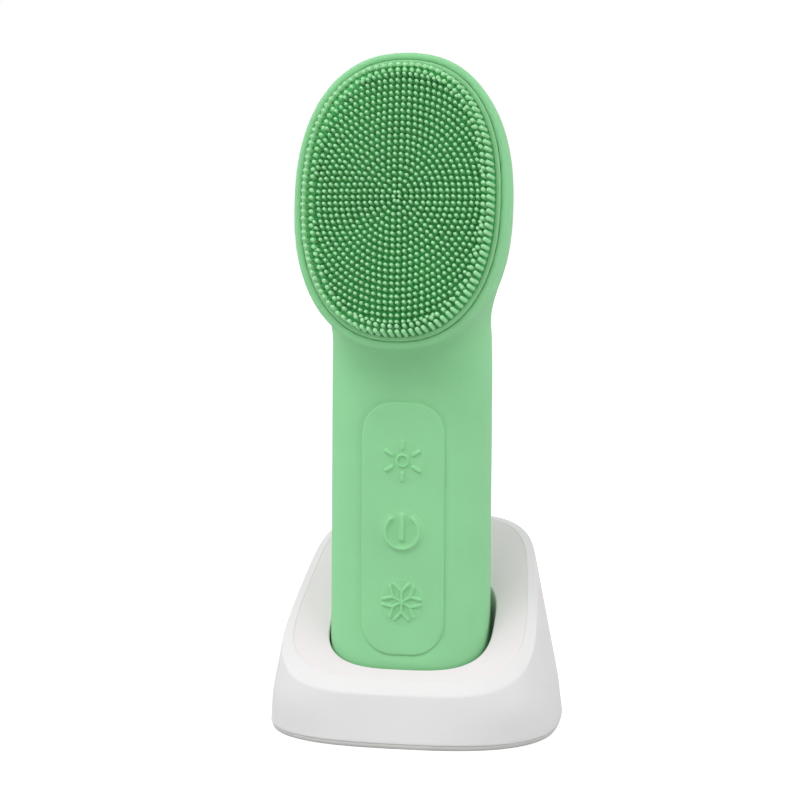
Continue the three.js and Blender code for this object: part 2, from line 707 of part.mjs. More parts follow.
/** The plate that warms or cools the skin, slightly crowned. */
function thermalPlate() {
  const [halfWidth, halfHeight] = PLATE_HALF;
  const { seat, edge, shoulder, crown } = PLATE_DEPTHS;
  const rings = [
    headRing(seat, halfWidth, halfHeight),
    headRing(edge, halfWidth, halfHeight),
    headRing(shoulder, halfWidth - 1.2, halfHeight - 1.2),
    headRing(crown, halfWidth - 5, halfHeight - 6),
  ];
  return solid(loftGeometry(rings));
}

function heatSink() {
  const { width, height, base: thickness, baseDepth, fin, finSpan, finDepth } = SINK;
  const base = box(width, thickness, height, 0, baseDepth, 0);
  const fins = SINK_FINS.map((x) => box(fin, finSpan, height, x, finDepth, 0));
  return join(base, ...fins);
}

/** The motor's rubber sleeve: a short tube. */
function motorCradle() {
  const { depth, radius, sleeve, sleeveHalf } = MOTOR;
  const outer = rod(radius + sleeve, 'z', -sleeveHalf, sleeveHalf, 0, depth, MOTOR_STEPS);
  return cut(outer, rod(radius + GAP, 'z', -sleeveHalf - 1, sleeveHalf + 1, 0, depth, MOTOR_STEPS));
}

function motorCan() {
  const { depth, radius, halfLength, bore } = MOTOR;
  const can = rod(radius, 'z', -halfLength, halfLength, 0, depth, MOTOR_STEPS);
  return cut(can, rod(bore, 'z', 3, halfLength + 1, 0, depth));
}

/** The off-centre weight: most of a ring's half, open on one side of the shaft. */
function eccentricWeight() {
  const outline = new THREE.Shape();
  outline.absarc(0, 0, WEIGHT.radius, 0, Math.PI, false);
  outline.absarc(0, 0, WEIGHT.bore, Math.PI, 0, true);
  const geometry = new THREE.ExtrudeGeometry(outline, {
    depth: WEIGHT.length,
    bevelEnabled: false,
    curveSegments: 8,
  });
  return solid(geometry.translate(0, MOTOR.depth, WEIGHT.low));
}

piece(head, 'brush_pad', brushPad(), LOOK.bristle);
piece(head, 'pad_carrier', padCarrier(), LOOK.corePlastic);
piece(head, 'plate_bezel', plateBezel(), LOOK.corePlastic);
piece(head, 'thermal_plate', thermalPlate(), LOOK.aluminium);
const { side, thickness, depth } = PELTIER;
piece(head, 'peltier_module', box(side, thickness, side, 0, depth, 0), LOOK.ceramic);
piece(head, 'heat_sink', heatSink(), LOOK.aluminium);
piece(head, 'motor_cradle', motorCradle(), LOOK.rubber);
piece(head, 'motor_can', motorCan(), LOOK.steel);
const shaft = rod(SHAFT.radius, 'z', SHAFT.low, SHAFT.high, 0, MOTOR.depth, 8);
piece(head, 'motor_shaft', shaft, LOOK.steel);
piece(head, 'eccentric_weight', eccentricWeight(), LOOK.steel);

export default object;
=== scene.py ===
"""The looks of a facial cleansing brush in its charging dock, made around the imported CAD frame.

Shapes are worked out in millimetres, in the frame of the part they belong to, and placed in metres.
The handset's own frame has Z along the handle and -Y out of the keypad. The head's own frame has Y
into the head from the rim, and Z along the oval's long side.
"""

import json
import math

import bpy
import numpy as np
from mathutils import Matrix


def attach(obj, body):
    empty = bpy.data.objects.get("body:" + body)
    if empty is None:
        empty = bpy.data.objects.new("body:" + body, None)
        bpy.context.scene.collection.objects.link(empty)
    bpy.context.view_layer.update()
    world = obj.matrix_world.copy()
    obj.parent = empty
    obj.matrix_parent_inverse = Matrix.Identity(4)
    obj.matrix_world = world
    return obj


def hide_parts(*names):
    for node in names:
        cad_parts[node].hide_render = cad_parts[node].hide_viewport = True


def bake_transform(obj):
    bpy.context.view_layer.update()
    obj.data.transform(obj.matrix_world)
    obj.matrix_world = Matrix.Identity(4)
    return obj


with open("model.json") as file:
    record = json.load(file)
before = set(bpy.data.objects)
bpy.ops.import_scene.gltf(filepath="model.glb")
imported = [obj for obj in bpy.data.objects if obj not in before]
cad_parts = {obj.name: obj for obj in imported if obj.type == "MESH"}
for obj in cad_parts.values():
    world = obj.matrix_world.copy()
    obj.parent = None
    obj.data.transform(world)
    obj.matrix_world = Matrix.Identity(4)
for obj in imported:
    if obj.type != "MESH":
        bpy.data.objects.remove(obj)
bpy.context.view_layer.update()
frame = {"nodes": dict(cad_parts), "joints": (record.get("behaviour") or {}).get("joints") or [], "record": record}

import openvdb
from mathutils import Matrix, Vector
from mathutils.geometry import delaunay_2d_cdt

MM = 0.001

# ---------------- sizes, in millimetres

# Dock: tapered oval wall, sloping face. The cup's walls stand further from the handle here than in the
# CAD, and the handle's corners are squarer, as the photo shows them.
DOCK_HALF_WIDTH = 37
DOCK_HALF_DEPTH = 31.6
DOCK_ROUNDNESS = 2.8
RIM_ROUNDNESS = 3.9
RIM_START = 12
DOCK_TAPER = 0.185
FACE_HEIGHT = 35.4
FACE_SLOPE = 0.73
RIM_WIDTH = 2.3
RIM_DROP = 1.2
FOOT_TOP = 1.3
POCKET_SHIFT = 0.5  # the pocket is this far to the right of the handle, so its gap shows there
USB_PORT = (9.8, 4, 11.5)  # width, height, and height above the table
PIN_HOLE_RADIUS = 1.4
BASE_PLATE_TOP = 3.6

# Handset: the handle's section, and where its frame stands.
HANDSET_Y = -10.5
HANDSET_Z = 10
HANDLE_HALF = (19.65, 12.3)
HANDLE_ROUNDNESS = 3.1
HANDLE_BOTTOM_FILLET = 3.4
HANDLE_SECTIONS = [
    (-10, 19.8, 12.3, 0),
    (80, 19.8, 12.3, 0),
    (89, 19.7, 11.9, -0.3),
    (97, 19.2, 10.4, -1.6),
    (106, 17.6, 8.0, -4.0),
    (115, 14.0, 5.0, -6.8),
]
POCKET_CLEARANCE = 1
POCKET_RAISE = 0.5  # the pocket's floor is this much nearer to the handle than its walls
CUP_WALL = 1.6
SKIN = 1.6

# Head: an oval bowl. Depth behind the rim, half width, half height.
HEAD_Y = -17.8
HEAD_Z = 122
HEAD_ROUNDNESS = 2.3
HEAD_SECTIONS = [
    (-3, 26.25, 36.0),
    (2, 26.35, 36.1),
    (8, 26.5, 36.25),
    (16, 24.8, 34.1),
    (23, 21.4, 30.2),
    (28, 18.4, 26.9),
    (32, 15.6, 24.0),
]
HEAD_DEPTH = 30.2
RIM_OPENING = (24.3, 34.1)
NECK_BLEND = 6

# Brush pad and its bristles.
PAD_HALF = (24.34, 34.14)
FIELD_HALF = (23.1, 33.2)
FIELD_EDGE_DEPTH = 0.35
FIELD_CROWN = 1.2
BRISTLE_LENGTH = 4.5
BRISTLE_PITCH = 1.5
FIRST_RING = (0.74, 1.3)  # half width and half height of the innermost ring
RING_PITCH = (1.43, 1.5)
INNER_RINGS = 21  # the last of them only show where the oval is longest
RING_MARGIN = 0.55
# Outer rings: half width, half height, and how many degrees the bristles lean. They all lean to the
# photo's left, and those at the ends also lean to the middle of the head's height.
OUTER_RINGS = [(20.85, 31.0, 3), (22.5, 32.7, 8)]
OUTER_PITCH = 1.75
INNER_RADIUS = 0.45
OUTER_RADIUS = 0.56

# Plate on the head's back.
PLATE_HALF = (12.6, 20.8)
BEZEL_HALF = (14.3, 22.5)

# Keypad on the handle's front.
KEYPAD_HALF_WIDTH = 10.4
KEYPAD_Z = (10.8, 73.2)
KEYPAD_CORNER = 8
KEYPAD_STANDS = 0.2  # the panel follows the handle's front and stands this far out of it
KEYPAD_FRONT = -HANDLE_HALF[1] - KEYPAD_STANDS
KEYPAD_EDGE = 0.62  # width of the panel's rounded edge
KEY_RADIUS = 6.1
KEY_HEIGHTS = {"heat": 58.8, "power": 41.4, "cool": 24.1}
CONTACT_X = 5
CONTACT_WELL = 2.05  # radius of the well round each contact
BASE_CAP_HALF = (13.4, 7.2)

# ---------------- frames


def joint(name):
    """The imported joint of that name."""
    return next(j for j in frame["joints"] if j["name"] == name)


def lean_of(joint_name):
    """How far a joint's axis leans back from upright."""
    axis = joint(joint_name)["axis"]
    return math.atan2(axis[1], axis[2])


LEAN = lean_of("handset_lift")
HEAD_TILT = lean_of("motor_spin") - LEAN
DOCK_FRAME = Matrix.Identity(4)
HANDSET_FRAME = Matrix.Translation((0, HANDSET_Y, HANDSET_Z)) @ Matrix.Rotation(-LEAN, 4, "X")
HEAD_IN_HANDSET = Matrix.Translation((0, HEAD_Y, HEAD_Z)) @ Matrix.Rotation(-HEAD_TILT, 4, "X")
HEAD_FRAME = HANDSET_FRAME @ HEAD_IN_HANDSET

# ---------------- mesh helpers


def moved(points, matrix):
    """Points, an array of rows, through a 4 by 4 matrix."""
    m = np.array(matrix)
    return points @ m[:3, :3].T + m[:3, 3]


def make_piece(name, points, faces, body, slot, place=DOCK_FRAME, material=None, normals=None):
    """A smooth mesh in the row frame from points in millimetres, riding on a body. Its material is the
    slot's own unless another is given."""
    mesh = bpy.data.meshes.new(name)
    mesh.from_pydata((moved(np.asarray(points, float), place) * MM).tolist(), [], faces)
    mesh.validate()
    mesh.shade_smooth()
    if normals is not None:
        turned = np.asarray(normals, float) @ np.array(place)[:3, :3].T
        mesh.normals_split_custom_set_from_vertices(turned.tolist())
    obj = bpy.data.objects.new(name, mesh)
    bpy.context.scene.collection.objects.link(obj)
    mesh.materials.append(material or MATERIALS[slot])
    if body:
        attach(obj, body)
    return obj


def oval(half_u, half_v, exponent, steps):
    """Points of a superellipse at even angles, as an array of (u, v)."""
    angle = np.arange(steps) * 2 * math.pi / steps
    cos, sin = np.cos(angle), np.sin(angle)
    radius = (np.abs(cos / half_u) ** exponent + np.abs(sin / half_v) ** exponent) ** (-1 / exponent)
    return np.stack([radius * cos, radius * sin], 1)


def stack(rings, closed=False):
    """Points and quads of a skin over equal rings. Closed joins the last ring to the first;
    otherwise both ends are capped with a fan round their middle."""
    steps = len(rings[0])
    points = [np.asarray(r, float) for r in rings]
    levels = len(rings)
    faces = []
    for level in range(levels if closed else levels - 1):
        low, high = level * steps, (level + 1) % levels * steps
        for i in range(steps):
            j = (i + 1) % steps
            faces.append((low + i, low + j, high + j, high + i))
    if not closed:
        first, last = levels * steps, levels * steps + 1
        points += [points[0].mean(0)[None], points[-1].mean(0)[None]]
        top = (levels - 1) * steps
        for i in range(steps):
            j = (i + 1) % steps
            faces.append((first, j, i))
            faces.append((last, top + i, top + j))
    return np.concatenate(points), faces


def outward(points, faces):
    """The faces, turned so that the closed mesh has a positive volume."""
    total = 0.0
    for f in faces:
        a = points[f[0]]
        for b, c in zip(f[1:-1], f[2:]):
            total += np.dot(a, np.cross(points[b], points[c]))
    return faces if total > 0 else [tuple(reversed(f)) for f in faces]


def fillet(start, corner, end, steps=5):
    """Points along a curve that leaves a corner out: a quadratic from start to end."""
    start, corner, end = (np.array(p, float) for p in (start, corner, end))
    t = np.linspace(0, 1, steps)[:, None]
    return list((1 - t) ** 2 * start + 2 * t * (1 - t) * corner + t**2 * end)


# ---------------- materials

COLOR_PATCHES = 60  # noise scales, in cells per metre
GLOSS_PATCHES = 220
BRUSHED_LINES = 900
BRUSHED_PATCHES = 150
NOISE_SPAN = (0.3, 0.7)  # the noise's lower and upper ends, where the variation stops


def shader(name, color, roughness, metallic=0.0):
    """A plain material and its shader node."""
    material = bpy.data.materials.new(name)
    material.use_nodes = True
    nodes = material.node_tree.nodes
    principled = nodes["Principled BSDF"]
    principled.inputs["Base Color"].default_value = (*color, 1)
    principled.inputs["Roughness"].default_value = roughness
    principled.inputs["Metallic"].default_value = metallic
    return material, principled


def noise(material, scale, detail=3.0, stretch=(1, 1, 1)):
    """A noise texture in the object's own coordinates, in metres."""
    nodes, links = material.node_tree.nodes, material.node_tree.links
    place = nodes.new("ShaderNodeTexCoord")
    mapping = nodes.new("ShaderNodeMapping")
    mapping.inputs["Scale"].default_value = stretch
    texture = nodes.new("ShaderNodeTexNoise")
    texture.inputs["Scale"].default_value = scale
    texture.inputs["Detail"].default_value = detail
    links.new(place.outputs["Object"], mapping.inputs["Vector"])
    links.new(mapping.outputs["Vector"], texture.inputs["Vector"])
    return texture.outputs["Fac"]


def vary_roughness(material, principled, fac, low, high):
    """Roughness that follows a noise from low to high."""
    nodes, links = material.node_tree.nodes, material.node_tree.links
    span = nodes.new("ShaderNodeMapRange")
    span.inputs["From Min"].default_value = NOISE_SPAN[0]
    span.inputs["From Max"].default_value = NOISE_SPAN[1]
    span.inputs["To Min"].default_value = low
    span.inputs["To Max"].default_value = high
    links.new(fac, span.inputs["Value"])
    links.new(span.outputs["Result"], principled.inputs["Roughness"])


def vary_color(material, principled, fac, first, second):
    """Colour that follows a noise from first to second."""
    nodes, links = material.node_tree.nodes, material.node_tree.links
    ramp = nodes.new("ShaderNodeValToRGB")
    ramp.color_ramp.elements[0].position = NOISE_SPAN[0]
    ramp.color_ramp.elements[1].position = NOISE_SPAN[1]
    ramp.color_ramp.elements[0].color = (*first, 1)
    ramp.color_ramp.elements[1].color = (*second, 1)
    links.new(fac, ramp.inputs["Fac"])
    links.new(ramp.outputs["Color"], principled.inputs["Base Color"])


def add_bump(material, principled, fac, height):
    """Bump of a height in metres."""
    nodes, links = material.node_tree.nodes, material.node_tree.links
    bump = nodes.new("ShaderNodeBump")
    bump.inputs["Strength"].default_value = 1.0
    bump.inputs["Distance"].default_value = height
    links.new(fac, bump.inputs["Height"])
    links.new(bump.outputs["Normal"], principled.inputs["Normal"])


def linear(*srgb):
    """sRGB numbers from 0 to 255 as linear colour."""
    out = []
    for value in srgb:
        v = value / 255
        out.append(v / 12.92 if v <= 0.04045 else ((v + 0.055) / 1.055) ** 2.4)
    return tuple(out)


def tinted(color, factor):
    """A colour made lighter or darker."""
    return tuple(min(1.0, c * factor) for c in color)


def moulded(name, color, roughness, grain=4200, height=4e-6, spread=0.06, tint=0.03):
    """A moulded surface: fine grain, patches of roughness and a trace of colour variation."""
    material, principled = shader(name, color, roughness)
    patches = noise(material, COLOR_PATCHES)
    vary_color(material, principled, patches, tinted(color, 1 - tint), tinted(color, 1 + tint))
    patches = noise(material, GLOSS_PATCHES)
    vary_roughness(material, principled, patches, roughness - spread, roughness + spread)
    add_bump(material, principled, noise(material, grain, 2), height)
    return material


def brushed(name, color, roughness, stretch):
    """Metal with fine lines along one direction."""
    material, principled = shader(name, color, roughness, 1.0)
    lines = noise(material, BRUSHED_LINES, 4, stretch)
    vary_roughness(material, principled, lines, roughness - 0.08, roughness + 0.12)
    add_bump(material, principled, lines, 3e-6)
    patches = noise(material, BRUSHED_PATCHES)
    vary_color(material, principled, patches, tinted(color, 0.95), tinted(color, 1.03))
    return material


GREEN = linear(141, 204, 151)
BRISTLE_GREEN = linear(162, 220, 168)
LIP_GREEN = linear(138, 198, 145)
PAD_SHADE_PAINTED_GREEN = linear(116, 230, 146)  # painted shade: the pad between the bristles is the same silicone as they are, tinted a deeper, more saturated green so that the gaps between them look shaded


def silicone_material(name, color, roughness=0.58):
    """Matt silicone: hardly any gloss, and light goes a little way in."""
    material = moulded(name, color, roughness, grain=3600, height=5e-6)
    principled = material.node_tree.nodes["Principled BSDF"]
    principled.inputs["Specular IOR Level"].default_value = 0.12
    principled.inputs["Sheen Weight"].default_value = 0.01
    principled.inputs["Sheen Roughness"].default_value = 0.5
    principled.inputs["Subsurface Weight"].default_value = 0.15
    principled.inputs["Subsurface Radius"].default_value = (0.6, 1.0, 0.6)
    principled.inputs["Subsurface Scale"].default_value = 0.0012
    return material


MATERIALS = {
    "silicone_green": silicone_material("silicone_green", GREEN),
    "bristle_green": silicone_material("bristle_green", BRISTLE_GREEN, 0.45),
    "white_plastic": moulded("white_plastic", linear(218, 216, 217), 0.45, 1400, 1e-6, 0.015, 0.006),
    "fascia_plastic": moulded("fascia_plastic", linear(222, 215, 218), 0.5, 1400, 1e-6, 0.015, 0.006),
    "core_plastic": moulded("core_plastic", linear(222, 223, 218), 0.5),
    "black_plastic": moulded("black_plastic", linear(30, 30, 32), 0.45),
    "foot_rubber": moulded("foot_rubber", linear(198, 197, 195), 0.75, grain=1800, height=1e-5),
    "circuit_board": moulded("circuit_board", linear(24, 96, 52), 0.4, grain=1500, height=8e-6),
    "battery_foil": brushed("battery_foil", linear(170, 176, 184), 0.42, (1, 1, 6)),
    "steel": brushed("steel", linear(196, 198, 200), 0.32, (1, 1, 12)),
    "aluminium": brushed("aluminium", linear(214, 216, 220), 0.26, (18, 1, 1)),
    "contact_gold": brushed("contact_gold", linear(226, 190, 106), 0.24, (4, 4, 1)),
    "ceramic": moulded("ceramic", linear(238, 236, 230), 0.6, grain=2400, height=6e-6),
}

# the pad's painted shade: a deeper green for the field between the bristles, standing in for the shade that falls
# there
PAD_SHADE_PAINTED_MATERIAL = silicone_material("pad_painted_shade", PAD_SHADE_PAINTED_GREEN)
LIP_MATERIAL = silicone_material("lip_green", LIP_GREEN)

# ---------------- camera, floor, lights


CAMERA_LENS = 85
CAMERA_SENSOR = 36
CAMERA_AIM = (-2.65, -10.62, 83.21)
CAMERA_AZIMUTH = 11  # degrees from the front towards +X
CAMERA_ELEVATION = 4.89
CAMERA_DISTANCE = 470.85
STUDIO_RADIUS = 8  # metres
STUDIO_WALL = 1.8  # height, in metres
STUDIO_ROUGHNESS = 0.9
STUDIO_STEPS = 96
FLOOR_SEEN = (0.45, 0.72)  # base and glow for the lens
FLOOR_SHADE = 0.62
WORLD_STRENGTH = 0.51
SUNS = [  # name, direction towards the light, spread in degrees, strength
    ("key", (-0.26, -0.5, 0.82), 26, 0.8),
    ("fill_left", (-0.9, -0.35, 0.5), 60, 1.5),
    ("fill_right", (0.9, -0.35, 0.5), 60, 1.5),
    ("back", (0.25, 0.75, 0.6), 60, 0.5),
]


def studio_white(name, seen, shade, glow):
    """A plain pale surface of the studio. The lens sees the pair of base and glow in seen, which is
    overexposed, and the object gets the lower shade and glow, as from a floor lit far away."""
    material, principled = shader(name, (seen[0],) * 3, STUDIO_ROUGHNESS)
    principled.inputs["Specular IOR Level"].default_value = 0.0
    principled.inputs["Emission Color"].default_value = (1, 1, 1, 1)
    principled.inputs["Emission Strength"].default_value = seen[1]
    nodes, links = material.node_tree.nodes, material.node_tree.links
    plain = nodes.new("ShaderNodeBsdfPrincipled")
    plain.inputs["Base Color"].default_value = (shade, shade, shade, 1)
    plain.inputs["Roughness"].default_value = STUDIO_ROUGHNESS
    plain.inputs["Emission Color"].default_value = (1, 1, 1, 1)
    plain.inputs["Emission Strength"].default_value = glow
    path = nodes.new("ShaderNodeLightPath")
    mix = nodes.new("ShaderNodeMixShader")
    links.new(path.outputs["Is Camera Ray"], mix.inputs["Fac"])
    links.new(plain.outputs["BSDF"], mix.inputs[1])
    links.new(principled.outputs["BSDF"], mix.inputs[2])
    links.new(mix.outputs["Shader"], nodes["Material Output"].inputs["Surface"])
    return material


def build_stage():
    """Camera at the photo's angle, a pale floor and soft studio lights."""
    scene = bpy.context.scene
    scene.view_settings.view_transform = "Standard"
    camera_data = bpy.data.cameras.new("camera")
    camera_data.lens = CAMERA_LENS
    camera_data.sensor_width = CAMERA_SENSOR
    camera = bpy.data.objects.new("camera", camera_data)
    scene.collection.objects.link(camera)
    aim = Vector(CAMERA_AIM) * MM
    azimuth, elevation = math.radians(CAMERA_AZIMUTH), math.radians(CAMERA_ELEVATION)
    away = Vector(
        (
            math.sin(azimuth) * math.cos(elevation),
            -math.cos(azimuth) * math.cos(elevation),
            math.sin(elevation),
        )
    )
    camera.location = aim + away * (CAMERA_DISTANCE * MM)
    camera.rotation_euler = (-away).to_track_quat("-Z", "Y").to_euler()
    scene.camera = camera

    world = bpy.data.worlds.new("studio")
    world.use_nodes = True
    world.node_tree.nodes["Background"].inputs["Color"].default_value = (1, 1, 1, 1)
    world.node_tree.nodes["Background"].inputs["Strength"].default_value = WORLD_STRENGTH
    scene.world = world

    bpy.ops.mesh.primitive_circle_add(vertices=STUDIO_STEPS, radius=STUDIO_RADIUS, fill_type="NGON")
    floor = bpy.context.object
    floor.name = "floor"
    floor.data.materials.append(studio_white("floor_white", FLOOR_SEEN, FLOOR_SHADE, 0.0))
    bpy.ops.mesh.primitive_cylinder_add(
        vertices=STUDIO_STEPS, radius=STUDIO_RADIUS, depth=STUDIO_WALL, end_fill_type="NOTHING",
        location=(0, 0, STUDIO_WALL / 2),
    )
    wall = bpy.context.object
    wall.name = "backdrop"
    wall.data.materials.append(studio_white("backdrop_white", (0.0, 1.0), 0.0, WORLD_STRENGTH))

    for name, away_from, spread, strength in SUNS:
        light_data = bpy.data.lights.new(name, "SUN")
        light_data.angle = math.radians(spread)
        light_data.energy = strength
        light = bpy.data.objects.new(name, light_data)
        light.rotation_euler = (-Vector(away_from)).to_track_quat("-Z", "Y").to_euler()
        scene.collection.objects.link(light)


# ---------------- silicone jacket, as a distance field

VOXEL = 0.6
LEAST_STEEPNESS = 0.02  # keeps the distance finite in the middle of a section
BOWL_REACH = 5.0  # the head's sections are averaged over this
JACKET_BOX = ((-29, -27, -2), (29, 19, 162))  # the grid's corners, in the handset's frame
HANDLE_TOP_FILLET = 4
RIM_EDGE = 0.85  # rounding of the head's rim
BACK_EDGE = 2.4  # rounding round the head's back
CREASE = (0.3, 0.15, 0.6)  # depth, distance outside the panel, and width of the groove round it
OPENING_DEPTH = 4  # how far the opening for the pad reaches behind the rim
OPENING_EDGE = 0.45
PLATE_GAP = 0.3
PLATE_HOLE_START = 26  # depth from which the hole for the plate starts
BASE_HOLE_DEPTH = 5
BASE_HOLE_EDGE = 0.35
WINDOW_MARGIN = 0.8  # the window under the panel is smaller than it by this
WINDOW_BACK = -6


def field_grid(low, high):
    """Coordinates of a voxel grid, and its first corner."""
    axes = [np.arange(a, b, VOXEL, dtype=np.float32) for a, b in zip(low, high)]
    return np.meshgrid(*axes, indexing="ij"), np.array([a[0] for a in axes])


def section_distance(u, v, half_u, half_v, exponent):
    """Distance to a superellipse wall whose half sizes may change through the grid."""
    size = (np.abs(u / half_u) ** exponent + np.abs(v / half_v) ** exponent) ** (1 / exponent)
    slopes = np.gradient(size, VOXEL)
    steepness = np.sqrt(sum(s * s for s in slopes))
    return (size - 1) / np.maximum(steepness, LEAST_STEEPNESS)


def meet(a, b, radius):
    """The space in both a and b, with a rounded edge."""
    outer = np.hypot(np.maximum(a + radius, 0), np.maximum(b + radius, 0))
    return outer + np.minimum(np.maximum(a + radius, b + radius), 0) - radius


def melt(a, b, width):
    """The space in a or b, with a soft fillet between them."""
    share = np.clip(0.5 + 0.5 * (b - a) / width, 0, 1)
    return b + (a - b) * share - width * share * (1 - share)


def sections_at(place, sections, column):
    """A section table's column at each place, eased between the rows."""
    rows = np.array(sections, float)
    return np.interp(place, rows[:, 0], rows[:, column])


def smooth_rows(sections, step=0.5, reach=3.0):
    """A section table sampled finely and averaged over a reach, so that it has no corners."""
    rows = np.array(sections, float)
    places = np.arange(rows[0, 0], rows[-1, 0] + step, step)
    count = int(reach / step)
    kernel = np.hanning(2 * count + 3)[1:-1]
    kernel /= kernel.sum()
    columns = [places]
    for column in range(1, rows.shape[1]):
        values = np.interp(places, rows[:, 0], rows[:, column])
        padded = np.pad(values, count, mode="edge")
        columns.append(np.convolve(padded, kernel, "valid"))
    return np.stack(columns, 1)


def keypad_outline_distance(x, z):
    """Distance outside the keypad's rounded rectangle."""
    middle = sum(KEYPAD_Z) / 2
    u = np.abs(x) - (KEYPAD_HALF_WIDTH - KEYPAD_CORNER)
    v = np.abs(z - middle) - ((KEYPAD_Z[1] - KEYPAD_Z[0]) / 2 - KEYPAD_CORNER)
    beyond = np.hypot(np.maximum(u, 0), np.maximum(v, 0))
    return beyond + np.minimum(np.maximum(u, v), 0) - KEYPAD_CORNER


def jacket_field():
    """Distance field of the silicone jacket: handle melted into the head, hollowed and opened."""
    (x, y, z), origin = field_grid(*JACKET_BOX)
    handle_rows = smooth_rows(HANDLE_SECTIONS)
    half_x, half_y, middle = (sections_at(z, handle_rows, c) for c in (1, 2, 3))
    handle = section_distance(x, y - middle, half_x, half_y, HANDLE_ROUNDNESS)
    handle = meet(handle, -z, HANDLE_BOTTOM_FILLET)
    handle = meet(handle, z - HANDLE_SECTIONS[-1][0], HANDLE_TOP_FILLET)

    inverse = np.array(HEAD_IN_HANDSET.inverted(), dtype=np.float32)
    depth = inverse[1, 1] * y + inverse[1, 2] * z + inverse[1, 3]
    height = inverse[2, 1] * y + inverse[2, 2] * z + inverse[2, 3]
    head_rows = smooth_rows(HEAD_SECTIONS, reach=BOWL_REACH)
    half_w, half_h = (sections_at(depth, head_rows, c) for c in (1, 2))
    bowl = section_distance(x, height, half_w, half_h, HEAD_ROUNDNESS)
    bowl = meet(meet(bowl, -depth, RIM_EDGE), depth - HEAD_DEPTH, BACK_EDGE)

    outside = melt(handle, bowl, NECK_BLEND)
    groove_depth, groove_place, groove_width = CREASE
    from_groove = (keypad_outline_distance(x, z) - groove_place) / groove_width
    outside = outside + np.where(y < 0, groove_depth * np.exp(-(from_groove ** 2)), 0)
    shell = np.maximum(outside, -(outside + SKIN))

    rim_hole = section_distance(x, height, *RIM_OPENING, HEAD_ROUNDNESS)
    shell = meet(shell, -np.maximum(rim_hole, depth - OPENING_DEPTH), OPENING_EDGE)
    plate_half = (BEZEL_HALF[0] + PLATE_GAP, BEZEL_HALF[1] + PLATE_GAP)
    plate_hole = section_distance(x, height, *plate_half, HEAD_ROUNDNESS)
    shell = meet(shell, -np.maximum(plate_hole, PLATE_HOLE_START - depth), OPENING_EDGE)
    base_hole = section_distance(x, y, *BASE_CAP_HALF, HANDLE_ROUNDNESS)
    shell = meet(shell, -np.maximum(base_hole, z - BASE_HOLE_DEPTH), BASE_HOLE_EDGE)
    window = np.maximum(keypad_outline_distance(x, z) + WINDOW_MARGIN, y - WINDOW_BACK)
    shell = np.maximum(shell, -window)
    return shell, origin


def surface_of(field, origin):
    """Points, quads and outward normals of a field's zero surface."""
    reach = 3 * VOXEL
    clipped = np.clip(field, -reach, reach).astype(np.float32)
    grid = openvdb.FloatGrid(reach)
    grid.copyFromArray(clipped)
    points, quads = grid.convertToQuads(0)
    index = points.astype(float)
    slopes = np.gradient(clipped)
    low = np.clip(np.floor(index).astype(int), 0, np.array(clipped.shape) - 2)
    part = index - low
    normals = np.zeros_like(index)
    for corner in np.ndindex(2, 2, 2):
        share = np.prod(np.where(corner, part, 1 - part), 1)
        at = tuple((low + corner).T)
        normals += share[:, None] * np.stack([s[at] for s in slopes], 1)
    normals /= np.maximum(np.linalg.norm(normals, axis=1), 1e-6)[:, None]
    return index * VOXEL + origin, quads.tolist(), normals


def build_jacket():
    """The silicone skin over handle and head."""
    points, quads, normals = surface_of(*jacket_field())
    jacket = make_piece(
        "silicone_jacket", points, quads, "handset", "silicone_green",
        HANDSET_FRAME, normals=normals,
    )
    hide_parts("silicone_body")


# ---------------- brush pad and bristles

HEAD_STEPS = 200
FINE_STEPS = 1440  # points round an oval along which the bristles are spaced
OUTER_STRETCH = 1.06  # an outer ring is longer than an ellipse of its size by this
BRISTLE_STEPS = 10
BRISTLE_ROOT = 0.3  # how far a bristle starts below the pad
BRISTLE_WANDER = 0.012  # tangent of a bristle's chance tilt


def head_ring(depth, half_width, half_height):
    """A ring of the head's section at a depth behind the rim."""
    flat = oval(half_width, half_height, HEAD_ROUNDNESS, HEAD_STEPS)
    return np.stack([flat[:, 0], np.full(HEAD_STEPS, depth), flat[:, 1]], 1)


def field_depth(x, z):
    """Depth of the pad's surface between the bristles: a shallow crown."""
    reach = (np.abs(x / FIELD_HALF[0]) ** 2 + np.abs(z / FIELD_HALF[1]) ** 2) ** 0.5
    return FIELD_EDGE_DEPTH - FIELD_CROWN * (1 - np.minimum(reach, 1) ** 2)


def build_pad():
    """The pad: a lip that fills the opening in the head's rim, and the field inside it."""
    width, height = PAD_HALF
    inner = PAD_HALF[0] - FIELD_HALF[0]
    profile = [(2.6, inner), (2.6, 0.3), (2.3, 0.0), (0.45, 0.0)]
    profile += fillet((0.3, 0.0), (-0.22, 0.0), (-0.25, 0.5), 7)
    profile += fillet((-0.22, inner - 0.5), (-0.18, inner), (FIELD_EDGE_DEPTH, inner + 0.05), 6)
    rings = [head_ring(d, width - i, height - i) for d, i in profile]
    points, faces = stack(rings, closed=True)
    lip = make_piece(
        "brush_pad_lip", points, outward(points, faces), "handset", "bristle_green",
        HEAD_FRAME, LIP_MATERIAL,
    )
    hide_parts("brush_pad")

    rings = [head_ring(2.5, FIELD_HALF[0] * s, FIELD_HALF[1] * s) for s in (0.03, 0.5, 0.97)]
    rings.append(head_ring(2.3, FIELD_HALF[0] + 0.02, FIELD_HALF[1] + 0.02))
    for share in np.linspace(1.0, 0.03, 17):
        ring = head_ring(0, FIELD_HALF[0] * share, FIELD_HALF[1] * share)
        ring[:, 1] = field_depth(ring[:, 0], ring[:, 2])
        rings.append(ring)
    points, faces = stack(rings)
    # the field takes the deeper green that paints the shade between the bristles
    field = make_piece(
        "brush_pad_field", points, outward(points, faces), "handset", "bristle_green",
        HEAD_FRAME, PAD_SHADE_PAINTED_MATERIAL,
    )
    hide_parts("brush_pad")


